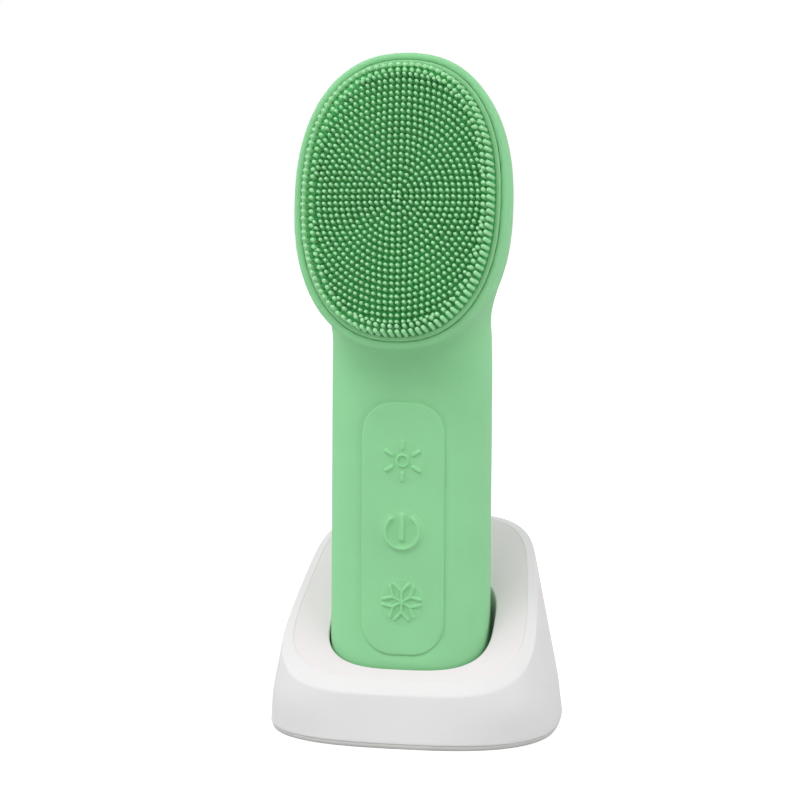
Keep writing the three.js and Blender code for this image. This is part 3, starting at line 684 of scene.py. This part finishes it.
def ring_places(half_width, half_height, exponent, steps):
    """Places round an oval at equal steps along it: one on the wide axis, and steps of them to the
    long axis. With half a step over, the long axis runs midway between two places."""
    fine = oval(half_width, half_height, exponent, FINE_STEPS)[: FINE_STEPS // 4 + 1]
    lengths = np.concatenate([[0], np.cumsum(np.linalg.norm(np.diff(fine, axis=0), axis=1))])
    at = np.arange(int(steps) + 1) * lengths[-1] / steps
    quarter = np.stack([np.interp(at, lengths, fine[:, i]) for i in (0, 1)], 1)
    places = set()
    for u, v in quarter.round(6).tolist():
        for side in (-1, 1):
            for end in (-1, 1):
                places.add((side * u + 0.0, end * v + 0.0))
    return sorted(places)


def steps_in_quarter(half_width, half_height, pitch):
    """How many steps a quarter of an oval takes, with half a step over."""
    quarter = math.pi / 4 * (half_width + half_height)
    return max(round(quarter / pitch - 0.5) + 0.5, 1)


def bristle_places():
    """All bristles, as (x, z, radius, lean)."""
    places = []
    inner_half = (OUTER_RINGS[0][0] - RING_MARGIN, OUTER_RINGS[0][1] - RING_MARGIN)
    for ring in range(INNER_RINGS):
        half_width = FIRST_RING[0] + RING_PITCH[0] * ring
        half_height = FIRST_RING[1] + RING_PITCH[1] * ring
        steps = steps_in_quarter(half_width, half_height, BRISTLE_PITCH)
        for x, z in ring_places(half_width, half_height, 2, steps):
            reach = abs(x / inner_half[0]) ** HEAD_ROUNDNESS + abs(z / inner_half[1]) ** HEAD_ROUNDNESS
            if reach < 1:
                places.append((x, z, INNER_RADIUS, 0))
    for half_width, half_height, lean in OUTER_RINGS:
        steps = steps_in_quarter(OUTER_STRETCH * half_width, OUTER_STRETCH * half_height, OUTER_PITCH)
        for x, z in ring_places(half_width, half_height, HEAD_ROUNDNESS, steps):
            places.append((x, z, OUTER_RADIUS, math.radians(lean)))
    return places


def build_bristles():
    """Every bristle: a slightly tapered round post with a domed tip."""
    profile = [(-BRISTLE_ROOT, 1.1), (0.5, 0.98), (2.2, 0.93), (BRISTLE_LENGTH - 0.42, 0.92)]
    profile += [(BRISTLE_LENGTH - 0.16, 0.76), (BRISTLE_LENGTH - 0.03, 0.42)]
    circle = oval(1, 1, 2, BRISTLE_STEPS)
    flat = np.zeros(BRISTLE_STEPS)
    rings = [np.stack([circle[:, 0] * r, flat - out, circle[:, 1] * r], 1) for out, r in profile]
    post, post_faces = stack(rings)
    post_faces = outward(post, post_faces)
    random = np.random.default_rng(7)
    points, faces = [], []
    for x, z, radius, lean in bristle_places():
        scaled = post * (radius, 1, radius)
        tilt = random.normal(0, BRISTLE_WANDER, 2)
        inward = np.array([abs(x) / FIELD_HALF[0] ** 2, z / FIELD_HALF[1] ** 2])
        tilt += math.tan(lean) * inward / np.linalg.norm(inward)
        scaled[:, 0] += scaled[:, 1] * tilt[0]
        scaled[:, 2] += scaled[:, 1] * tilt[1]
        offset = len(points) * len(post)
        points.append(scaled + (x, field_depth(x, z), z))
        faces += [tuple(i + offset for i in f) for f in post_faces]
    make_piece(
        "bristles", np.concatenate(points), faces, "handset", "bristle_green",
        HEAD_FRAME,
    )


# ---------------- plate on the head's back

PLATE_SEAM = 0.25  # between the plate and its ring
PLATE_CROWN = 31.5  # depth of the plate's middle
PLATE_FALL = 0.62


def build_plate():
    """The metal plate with its shallow crown, and the hard ring round it."""
    width, height = PLATE_HALF
    profile = [(28.6, 0.0), (30.3, 0.0), (30.55, 0.08), (30.75, 0.3), (30.85, 0.6)]
    rings = [head_ring(d, width - i, height - i) for d, i in profile]
    for share in np.linspace(0.92, 0.04, 12):
        depth = PLATE_CROWN - PLATE_FALL * share**2
        rings.append(head_ring(depth, (width - 0.6) * share, (height - 0.6) * share))
    points, faces = stack(rings)
    plate = make_piece(
        "warm_cool_plate", points, outward(points, faces), "handset", "aluminium",
        HEAD_FRAME,
    )
    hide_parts("thermal_plate")

    width, height = BEZEL_HALF
    band = BEZEL_HALF[0] - PLATE_HALF[0] - PLATE_SEAM
    profile = [(28.9, 0.0), (30.2, 0.0)]
    profile += fillet((30.5, 0.0), (30.95, 0.0), (30.95, 0.4), 5)
    profile += fillet((30.95, band - 0.4), (30.95, band), (30.6, band), 5)
    profile += [(28.9, band)]
    rings = [head_ring(d, width - i, height - i) for d, i in profile]
    points, faces = stack(rings, closed=True)
    bezel = make_piece(
        "plate_ring", points, outward(points, faces), "handset", "core_plastic",
        HEAD_FRAME,
    )
    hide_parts("plate_bezel")


# ---------------- keypad

LONG_SIDE = 20  # a straight stretch higher than this is cut into LONG_STEPS
LONG_STEPS = 48
SHORT_SIDE = 3  # and one wider than this into SHORT_STEPS
SHORT_STEPS = 4
PANEL_SKIRT = (1.1, 1.6, 0.55)  # inset, and the two depths of the panel's hidden skirt
LATTICE = 0.9  # pitch of the points inside the panel


def panel_front(x):
    """Y of the panel's surface, which follows the handle's front."""
    half_x, half_y = HANDLE_HALF
    fall = (1 - (np.abs(x) / half_x) ** HANDLE_ROUNDNESS) ** (1 / HANDLE_ROUNDNESS)
    return -half_y * fall - KEYPAD_STANDS


def panel_loop(inset):
    """The keypad's outline moved in, as an array of (x, z), with equal counts for every inset."""
    corner = KEYPAD_CORNER - inset
    right = KEYPAD_HALF_WIDTH - KEYPAD_CORNER
    low, high = KEYPAD_Z[0] + KEYPAD_CORNER, KEYPAD_Z[1] - KEYPAD_CORNER
    loop = []
    for middle_x, middle_z, start in (
        (right, high, 0), (-right, high, 90), (-right, low, 180), (right, low, 270),
    ):
        for angle in np.radians(start + np.linspace(0, 90, 17)):
            loop.append((middle_x + corner * math.cos(angle), middle_z + corner * math.sin(angle)))
    loop.append(loop[0])
    dense = []
    for (ax, az), (bx, bz) in zip(loop[:-1], loop[1:]):
        pieces = 1
        if abs(bz - az) > LONG_SIDE:
            pieces = LONG_STEPS
        elif abs(bx - ax) > SHORT_SIDE:
            pieces = SHORT_STEPS
        for i in range(pieces):
            dense.append((ax + (bx - ax) * i / pieces, az + (bz - az) * i / pieces))
    return np.array(dense)


KEY_STEPS = 200
HOLE_SLACK = 0.02  # a triangle further than this inside a key's circle belongs to the hole


def from_keys(x, z):
    """Distance outside the nearest key's circle."""
    return min(math.hypot(x, z - k) for k in KEY_HEIGHTS.values()) - KEY_RADIUS


def key_circle(z):
    """A key's round edge on the panel, as an array of (x, z)."""
    angle = np.arange(KEY_STEPS) * 2 * math.pi / KEY_STEPS
    return np.stack([KEY_RADIUS * np.cos(angle), z + KEY_RADIUS * np.sin(angle)], 1)


def build_keypad():
    """The panel: a rounded step up from the jacket, with three round holes for the keys."""
    profile = [(0.0, 0.5), (0.06, 0.3), (0.17, 0.15), (0.36, 0.05), (KEYPAD_EDGE, 0.0)]
    loops, points = [], []
    for inset, drop in profile:
        loop = panel_loop(inset)
        loops.append(loop)
        points.append(np.stack([loop[:, 0], panel_front(loop[:, 0]) + drop, loop[:, 1]], 1))
    count = len(loops[0])
    inset, *depths = PANEL_SKIRT
    below = panel_loop(inset)
    rings = [np.stack([below[:, 0], panel_front(below[:, 0]) + d, below[:, 1]], 1) for d in depths]
    rings += points
    faces = []
    for level in range(len(rings) - 1):
        for i in range(count):
            j = (i + 1) % count
            a, b = level * count, (level + 1) * count
            faces.append((a + i, a + j, b + j, b + i))
    base = (len(rings) - 1) * count

    inner = loops[-1]
    flat = [tuple(p) for p in inner]
    edges = [(i, (i + 1) % count) for i in range(count)]
    for z in KEY_HEIGHTS.values():
        start = len(flat)
        flat += [tuple(p) for p in key_circle(z)]
        edges += [(start + i, start + (i + 1) % KEY_STEPS) for i in range(KEY_STEPS)]
    for x in np.arange(-KEYPAD_HALF_WIDTH, KEYPAD_HALF_WIDTH, LATTICE):
        for z in np.arange(KEYPAD_Z[0], KEYPAD_Z[1], LATTICE):
            clear_of_edge = keypad_outline_distance(x, z) < -KEYPAD_EDGE - LATTICE / 2
            if clear_of_edge and from_keys(x, z) > LATTICE / 2:
                flat.append((x, z))
    verts, _, triangles, origin, _, _ = delaunay_2d_cdt([Vector(p) for p in flat], edges, [], 0, 1e-5)
    surface = np.array([(v[0], 0, v[1]) for v in verts])
    surface[:, 1] = panel_front(surface[:, 0])
    index = {}
    extra = []
    for i, sources in enumerate(origin):
        source = next((s for s in sources if s < count), None)
        if source is not None:
            index[i] = base + source
        else:
            index[i] = base + count + len(extra)
            extra.append(surface[i])
    for triangle in triangles:
        middle = surface[list(triangle)].mean(0)
        if keypad_outline_distance(middle[0], middle[2]) > -KEYPAD_EDGE:
            continue
        if from_keys(middle[0], middle[2]) < -HOLE_SLACK:
            continue
        faces.append(tuple(index[i] for i in triangle))
    points = np.concatenate(rings + [np.array(extra)])
    keypad = make_piece(
        "keypad_panel", points, faces, "handset", "silicone_green",
        HANDSET_FRAME,
    )
    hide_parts("keypad_membrane")


# ---------------- raised marks and keys

SUN_RING = 1.4
SUN_RING_WIDTH = 0.6
SUN_RAY = (3.1, 4.7)
SUN_RAY_WIDTH = 0.95
POWER_RING = 4.2
POWER_RING_WIDTH = 0.84
POWER_GAP = 42  # degrees of the ring that are open on each side of the top
POWER_BAR = (3.7, -1.6)
POWER_BAR_WIDTH = 1.25
FLAKE_FORK = 2.5
FLAKE_STEM_WIDTH = 0.72
FLAKE_REACH = 4.7
FLAKE_SPREAD = 22
FLAKE_BRANCH_WIDTH = 0.8


def stroke(u, v, start, end, width):
    """Distance outside a round-ended bar."""
    ax, az = start
    dx, dz = end[0] - ax, end[1] - az
    t = np.clip(((u - ax) * dx + (v - az) * dz) / max(dx * dx + dz * dz, 1e-9), 0, 1)
    return np.hypot(u - ax - t * dx, v - az - t * dz) - width / 2


def polar(reach, degrees):
    """A point at a reach from the middle, at an angle clockwise from the top."""
    angle = math.radians(degrees)
    return (reach * math.sin(angle), reach * math.cos(angle))


def sun_mark(u, v):
    """A small ring and six rays."""
    mark = np.abs(np.hypot(u, v) - SUN_RING) - SUN_RING_WIDTH / 2
    for turn in range(0, 360, 60):
        ray = (polar(SUN_RAY[0], turn), polar(SUN_RAY[1], turn))
        mark = np.minimum(mark, stroke(u, v, *ray, SUN_RAY_WIDTH))
    return mark


def power_mark(u, v):
    """A ring open at the top, with a bar."""
    ring = np.abs(np.hypot(u, v) - POWER_RING) - POWER_RING_WIDTH / 2
    angle = np.degrees(np.abs(np.arctan2(u, v)))
    tips = [polar(POWER_RING, side) for side in (-POWER_GAP, POWER_GAP)]
    ends = [stroke(u, v, tip, tip, POWER_RING_WIDTH) for tip in tips]
    ring = np.where(angle > POWER_GAP, ring, np.minimum(*ends))
    top, bottom = POWER_BAR
    return np.minimum(ring, stroke(u, v, (0, top), (0, bottom), POWER_BAR_WIDTH))


def flake_mark(u, v):
    """Six open Vs round a middle that joins them."""
    mark = np.full_like(u, 9.0)
    for turn in range(0, 360, 60):
        fork = polar(FLAKE_FORK, turn)
        mark = np.minimum(mark, stroke(u, v, (0, 0), fork, FLAKE_STEM_WIDTH))
        for side in (-FLAKE_SPREAD, FLAKE_SPREAD):
            tip = polar(FLAKE_REACH, turn + side)
            mark = np.minimum(mark, stroke(u, v, fork, tip, FLAKE_BRANCH_WIDTH))
    return mark


MARKS = {"heat": sun_mark, "power": power_mark, "cool": flake_mark}
MARK_HEIGHT = 0.5
POWER_SHOULDER = 0.22  # the power mark is on a soft swelling of its own
KEY_PLATEAU = 0.06  # how far the part that moves stands above the panel
MARK_EDGE = (0.12, 0.34)  # how far out a mark's slope starts, and its width
SHOULDER_EDGE = (0.85, 1.0)
KEY_HINGE = (0.1, 0.9)  # the still rim's width, and that of the skin that bends
KEY_FINE = (0.1, 5.2, 56)  # first and last radius, and count, of the rings under a mark
KEY_COARSE = (5.26, 12)  # first radius and count of the rings outside it


def ease(t):
    """0 to 1 with soft ends."""
    t = np.clip(t, 0, 1)
    return t * t * (3 - 2 * t)


def build_key(name):
    """A key: a disc of the panel's skin with its raised mark, whose edge stays on the panel."""
    z = KEY_HEIGHTS[name]
    body = f"{name}_key"
    coarse = np.linspace(KEY_COARSE[0], KEY_RADIUS, KEY_COARSE[1])
    reach = np.concatenate([np.linspace(*KEY_FINE), coarse])
    angle = np.arange(KEY_STEPS) * 2 * math.pi / KEY_STEPS
    u = reach[:, None] * np.cos(angle)
    v = reach[:, None] * np.sin(angle)
    inside = ease((KEY_RADIUS - KEY_HINGE[0] - reach) / KEY_HINGE[1])[:, None]
    flat = panel_front(u) * (1 - inside) + KEYPAD_FRONT * inside
    lift = KEY_PLATEAU * inside * np.ones_like(u)
    mark = MARKS[name](u, v)
    lift += MARK_HEIGHT * ease((MARK_EDGE[0] - mark) / MARK_EDGE[1])
    if name == "power":
        lift += POWER_SHOULDER * ease((SHOULDER_EDGE[0] - mark) / SHOULDER_EDGE[1])
    rings = [np.stack([u[i], flat[i] - lift[i], z + v[i]], 1) for i in range(len(reach))]
    points = np.concatenate(rings + [np.array([[0, KEYPAD_FRONT - lift[0].mean(), z]])])
    faces = []
    for level in range(len(reach) - 1):
        for i in range(KEY_STEPS):
            j = (i + 1) % KEY_STEPS
            a, b = level * KEY_STEPS, (level + 1) * KEY_STEPS
            faces.append((a + i, b + i, b + j, a + j))
    centre = len(points) - 1
    faces += [(centre, i, (i + 1) % KEY_STEPS) for i in range(KEY_STEPS)]
    key = make_piece(
        f"{name}_key_face", points, faces, None, "silicone_green",
        HANDSET_FRAME,
    )
    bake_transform(key)
    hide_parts(body)


# ---------------- cuts

STADIUM_STEPS = 16
CRISP_ANGLE = 50  # degrees from which an edge of a cut piece is sharp


def stadium(half_width, half_height):
    """A round-ended slot's outline, as an array of (u, v)."""
    loop = []
    for side, start in ((1, -90), (-1, 90)):
        for angle in np.radians(start + np.linspace(0, 180, STADIUM_STEPS)):
            across = side * (half_width - half_height) + half_height * math.cos(angle)
            loop.append((across, half_height * math.sin(angle)))
    return np.array(loop)


def cut(obj, rings, place=DOCK_FRAME):
    """Takes a lofted body out of a piece, and keeps the new edges crisp."""
    points, faces = stack(rings)
    mesh = bpy.data.meshes.new("cutter")
    mesh.from_pydata((moved(points, place) * MM).tolist(), [], outward(points, faces))
    cutter = bpy.data.objects.new("cutter", mesh)
    bpy.context.scene.collection.objects.link(cutter)
    modifier = obj.modifiers.new("cut", "BOOLEAN")
    modifier.operation = "DIFFERENCE"
    modifier.solver = "EXACT"
    modifier.object = cutter
    bpy.context.view_layer.objects.active = obj
    bpy.ops.object.modifier_apply(modifier="cut")
    bpy.data.objects.remove(cutter)
    obj.data.set_sharp_from_angle(angle=math.radians(CRISP_ANGLE))


# ---------------- base cap and contacts

TURNED_STEPS = 40


def section_ring(z, half_x, half_y, steps=120):
    """A ring of the handle's section at a height."""
    flat = oval(half_x, half_y, HANDLE_ROUNDNESS, steps)
    return np.stack([flat[:, 0], flat[:, 1], np.full(steps, z)], 1)


def turned(profile, x):
    """Rings of a turned post along Z at (x, 0), from (height, radius) pairs."""
    flat = oval(1, 1, 2, TURNED_STEPS)
    along = np.ones(TURNED_STEPS)
    return [np.stack([x + r * flat[:, 0], r * flat[:, 1], h * along], 1) for h, r in profile]


def build_base_cap():
    """The cap in the jacket's end, with a rounded edge and two wells for the contacts."""
    half_x, half_y = BASE_CAP_HALF
    profile = [(3.2, 0.3), (0.5, 0.3)]
    profile += fillet((0.25, 0.3), (0.0, 0.3), (0.0, 0.65), 5)
    rings = [section_ring(z, half_x - i, half_y - i) for z, i in profile]
    for share in (0.8, 0.55, 0.3, 0.08):
        rings.append(section_ring(0.0, (half_x - 0.65) * share, (half_y - 0.65) * share))
    points, faces = stack(rings)
    cap = make_piece(
        "handle_end_cap", points, outward(points, faces), "handset", "silicone_green",
        HANDSET_FRAME,
    )
    for x in (-CONTACT_X, CONTACT_X):
        cut(cap, turned([(-1, CONTACT_WELL), (2, CONTACT_WELL)], x), HANDSET_FRAME)
    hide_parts("base_cap")


def build_contacts():
    """The two gold discs in the handle's end, and the dock's spring pins that touch them."""
    for side, x in (("left", -CONTACT_X), ("right", CONTACT_X)):
        disc = [(3.4, 1.9), (0.25, 1.9), (0.08, 1.85), (0.0, 1.68), (0.0, 1.2), (0.05, 1.0)]
        points, faces = stack(turned(disc, x))
        plate = make_piece(
            f"contact_disc_{side}", points, outward(points, faces), "handset", "contact_gold",
            HANDSET_FRAME,
        )
        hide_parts(f"charge_contact_{side}")
        post = [(-5.4, 1.1), (-1.2, 1.1), (-0.8, 1.02), (-0.5, 0.82), (-0.36, 0.5), (-0.31, 0.2)]
        points, faces = stack(turned(post, x))
        pin = make_piece(
            f"spring_pin_{side}", points, outward(points, faces), f"pin_{side}", "contact_gold",
            HANDSET_FRAME,
        )
        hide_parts(f"dock_pin_{side}")


# ---------------- dock

DOCK_STEPS = 240
WALL_ROUNDS = 30  # rounds in which a ring settles on the sloping wall
POCKET_ROUNDS = 40
CUP_CENTRE = (1.0, 0.6)  # half sizes of the innermost ring of the cup's floor


def dock_ring(inset, height_at):
    """A ring on the dock's tapered wall, moved in by inset, at the heights that height_at(y) gives."""
    angle = np.arange(DOCK_STEPS) * 2 * math.pi / DOCK_STEPS
    cos, sin = np.abs(np.cos(angle)), np.abs(np.sin(angle))
    z = np.zeros(DOCK_STEPS)
    for _ in range(WALL_ROUNDS):
        half_width = DOCK_HALF_WIDTH - DOCK_TAPER * z - inset
        half_depth = DOCK_HALF_DEPTH - DOCK_TAPER * z - inset
        rise = ease(z / RIM_START)
        exponent = DOCK_ROUNDNESS + (RIM_ROUNDNESS - DOCK_ROUNDNESS) * rise
        radius = ((cos / half_width) ** exponent + (sin / half_depth) ** exponent) ** (-1 / exponent)
        y = radius * np.sin(angle)
        z = height_at(y)
    return np.stack([radius * np.cos(angle), y, z], 1)


def level(z):
    """A height rule: flat."""
    return lambda y: np.full_like(y, z)


def face_plane(offset):
    """A height rule: the dock's sloping face, moved up by an offset."""
    return lambda y: FACE_HEIGHT + FACE_SLOPE * y + offset


def between(low, high, share):
    """A height that is a share of the way from one height rule to another."""
    return lambda y: low(y) * (1 - share) + high(y) * share


def build_housing():
    """The shell: a tapered wall, a flat bevel round the face, and the port's opening."""
    bottom, shoulder = level(FOOT_TOP + 0.04), face_plane(-RIM_DROP - 0.9)
    rings = [dock_ring(1.4, bottom), dock_ring(0.16, bottom)]
    rings += [dock_ring(0.06, level(FOOT_TOP + 0.1)), dock_ring(0.0, level(FOOT_TOP + 0.3))]
    rings += [dock_ring(0, between(level(2.2), shoulder, s)) for s in np.linspace(0.02, 1, 14)]
    slope = RIM_DROP / RIM_WIDTH
    edge = ((0.0, RIM_DROP + 0.4), (0.0, RIM_DROP), (0.35, RIM_DROP - 0.35 * slope))
    for inset, drop in fillet(*edge, 7):
        rings.append(dock_ring(inset, face_plane(-drop)))
    for inset in (0.42, 1.2, RIM_WIDTH - 0.22):
        rings.append(dock_ring(inset, face_plane(-RIM_DROP + inset * slope)))
    edge = ((RIM_WIDTH - 0.16, 0.16 * slope), (RIM_WIDTH, 0.0), (RIM_WIDTH, 0.15))
    for inset, drop in fillet(*edge, 6):
        rings.append(dock_ring(inset, face_plane(-drop)))
    rings += [dock_ring(RIM_WIDTH, face_plane(-3.3)), dock_ring(3.5, face_plane(-3.4))]
    rings += [dock_ring(3.5, face_plane(-5.2)), dock_ring(RIM_WIDTH, face_plane(-5.4))]
    rings += [dock_ring(RIM_WIDTH, level(BASE_PLATE_TOP)), dock_ring(RIM_WIDTH, bottom)]
    points, faces = stack(rings, closed=True)
    housing = make_piece(
        "dock_shell", points, outward(points, faces), "dock", "white_plastic",
    )
    width, height, middle = USB_PORT
    port = stadium(width / 2, height / 2)
    slot = []
    for y in (DOCK_HALF_DEPTH - 8, DOCK_HALF_DEPTH + 4):
        slot.append(np.stack([port[:, 0], np.full(len(port), y), middle + port[:, 1]], 1))
    cut(housing, slot)
    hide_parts("dock_housing")


def pocket_ring(clearance, height_at):
    """A ring of the handle's section, grown by a clearance, where it meets a height rule."""
    half_x, half_y = (half + clearance for half in HANDLE_HALF)
    flat = oval(half_x, half_y, HANDLE_ROUNDNESS, DOCK_STEPS)
    sin, cos = math.sin(LEAN), math.cos(LEAN)
    along = np.full(DOCK_STEPS, 8.0)
    for _ in range(POCKET_ROUNDS):
        y = HANDSET_Y + flat[:, 1] * cos + along * sin
        along = (height_at(y) - HANDSET_Z + flat[:, 1] * sin) / cos
    y = HANDSET_Y + flat[:, 1] * cos + along * sin
    z = HANDSET_Z - flat[:, 1] * sin + along * cos
    return np.stack([flat[:, 0] + POCKET_SHIFT, y, z], 1)


def cup_ring(height, half_x, half_y):
    """A ring of the cup's section at a height along the handle."""
    ring = section_ring(height, half_x, half_y, DOCK_STEPS)
    return moved(ring + (POCKET_SHIFT, 0, 0), HANDSET_FRAME)


def build_fascia():
    """The sloping face, its pocket mouth with a thin rounded lip, and the cup below it."""
    edge = RIM_WIDTH + 0.02
    top = 0.06
    rings = [dock_ring(edge, face_plane(-2.9)), dock_ring(edge, face_plane(-top - 0.1))]
    rings += [dock_ring(edge + 0.03, face_plane(-top - 0.03)), dock_ring(edge + 0.1, face_plane(-top))]
    outer = rings[-1]
    lip = ((0.5, 0.0), (0.42, 0.0), (0.2, 0.05), (0.06, 0.2), (0.0, 0.45))
    mouth = [pocket_ring(POCKET_CLEARANCE + i, face_plane(-top - d)) for i, d in lip]
    for share in np.linspace(0.02, 0.96, 9):
        rings.append(outer * (1 - share) + mouth[0] * share)
    rings += mouth
    floor = POCKET_RAISE - POCKET_CLEARANCE
    wall = [half + POCKET_CLEARANCE for half in HANDLE_HALF]
    for height, inset in ((4.5, 0), (2.0, 0.3), (0.6, 1.2), (floor, 3.2), (floor, 6.0)):
        rings.append(cup_ring(height, wall[0] - inset, wall[1] - inset))
    rings.append(cup_ring(floor, *CUP_CENTRE))
    under = floor - CUP_WALL
    below = [cup_ring(under, *CUP_CENTRE)]
    for height, inset in ((under, 4.0), (under + 1.2, 1.0), (4.5, 0)):
        below.append(cup_ring(height, wall[0] + CUP_WALL - inset, wall[1] + CUP_WALL - inset))
    below.append(pocket_ring(POCKET_CLEARANCE + CUP_WALL, face_plane(-3.6)))
    below.append(dock_ring(edge + 0.6, face_plane(-3.0)))
    points, faces = stack(below + rings)
    fascia = make_piece(
        "dock_face", points, outward(points, faces), "dock", "fascia_plastic",
    )
    for x in (-CONTACT_X, CONTACT_X):
        hole = [(under - 1, PIN_HOLE_RADIUS), (floor + 1, PIN_HOLE_RADIUS)]
        cut(fascia, turned(hole, x), HANDSET_FRAME)
    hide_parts("dock_fascia")


def build_foot():
    """The rubber foot, a little inside the shell's wall."""
    profile = ((2.4, 0.0), (1.1, 0.0), (0.75, 0.12), (0.5, 0.4), (0.3, 0.85))
    rings = [dock_ring(i, level(z)) for i, z in profile]
    rings += [dock_ring(0.2, level(FOOT_TOP)), dock_ring(1.4, level(FOOT_TOP + 0.02))]
    points, faces = stack(rings)
    foot = make_piece(
        "rubber_foot", points, outward(points, faces), "dock", "foot_rubber",
    )
    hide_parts("dock_foot")


# ---------------- all together

build_stage()
for node_name, node in frame["nodes"].items():
    slot_name = next(
        s["material_slot"] for s in frame["record"]["subparts"] if s["node"] == node_name
    )
    node.data.materials.clear()
    node.data.materials.append(MATERIALS[slot_name])

build_jacket()
build_pad()
build_bristles()
build_plate()
build_keypad()
for key_name in KEY_HEIGHTS:
    build_key(key_name)
build_base_cap()
build_contacts()
build_housing()
build_fascia()
build_foot()

bpy.context.view_layer.update()
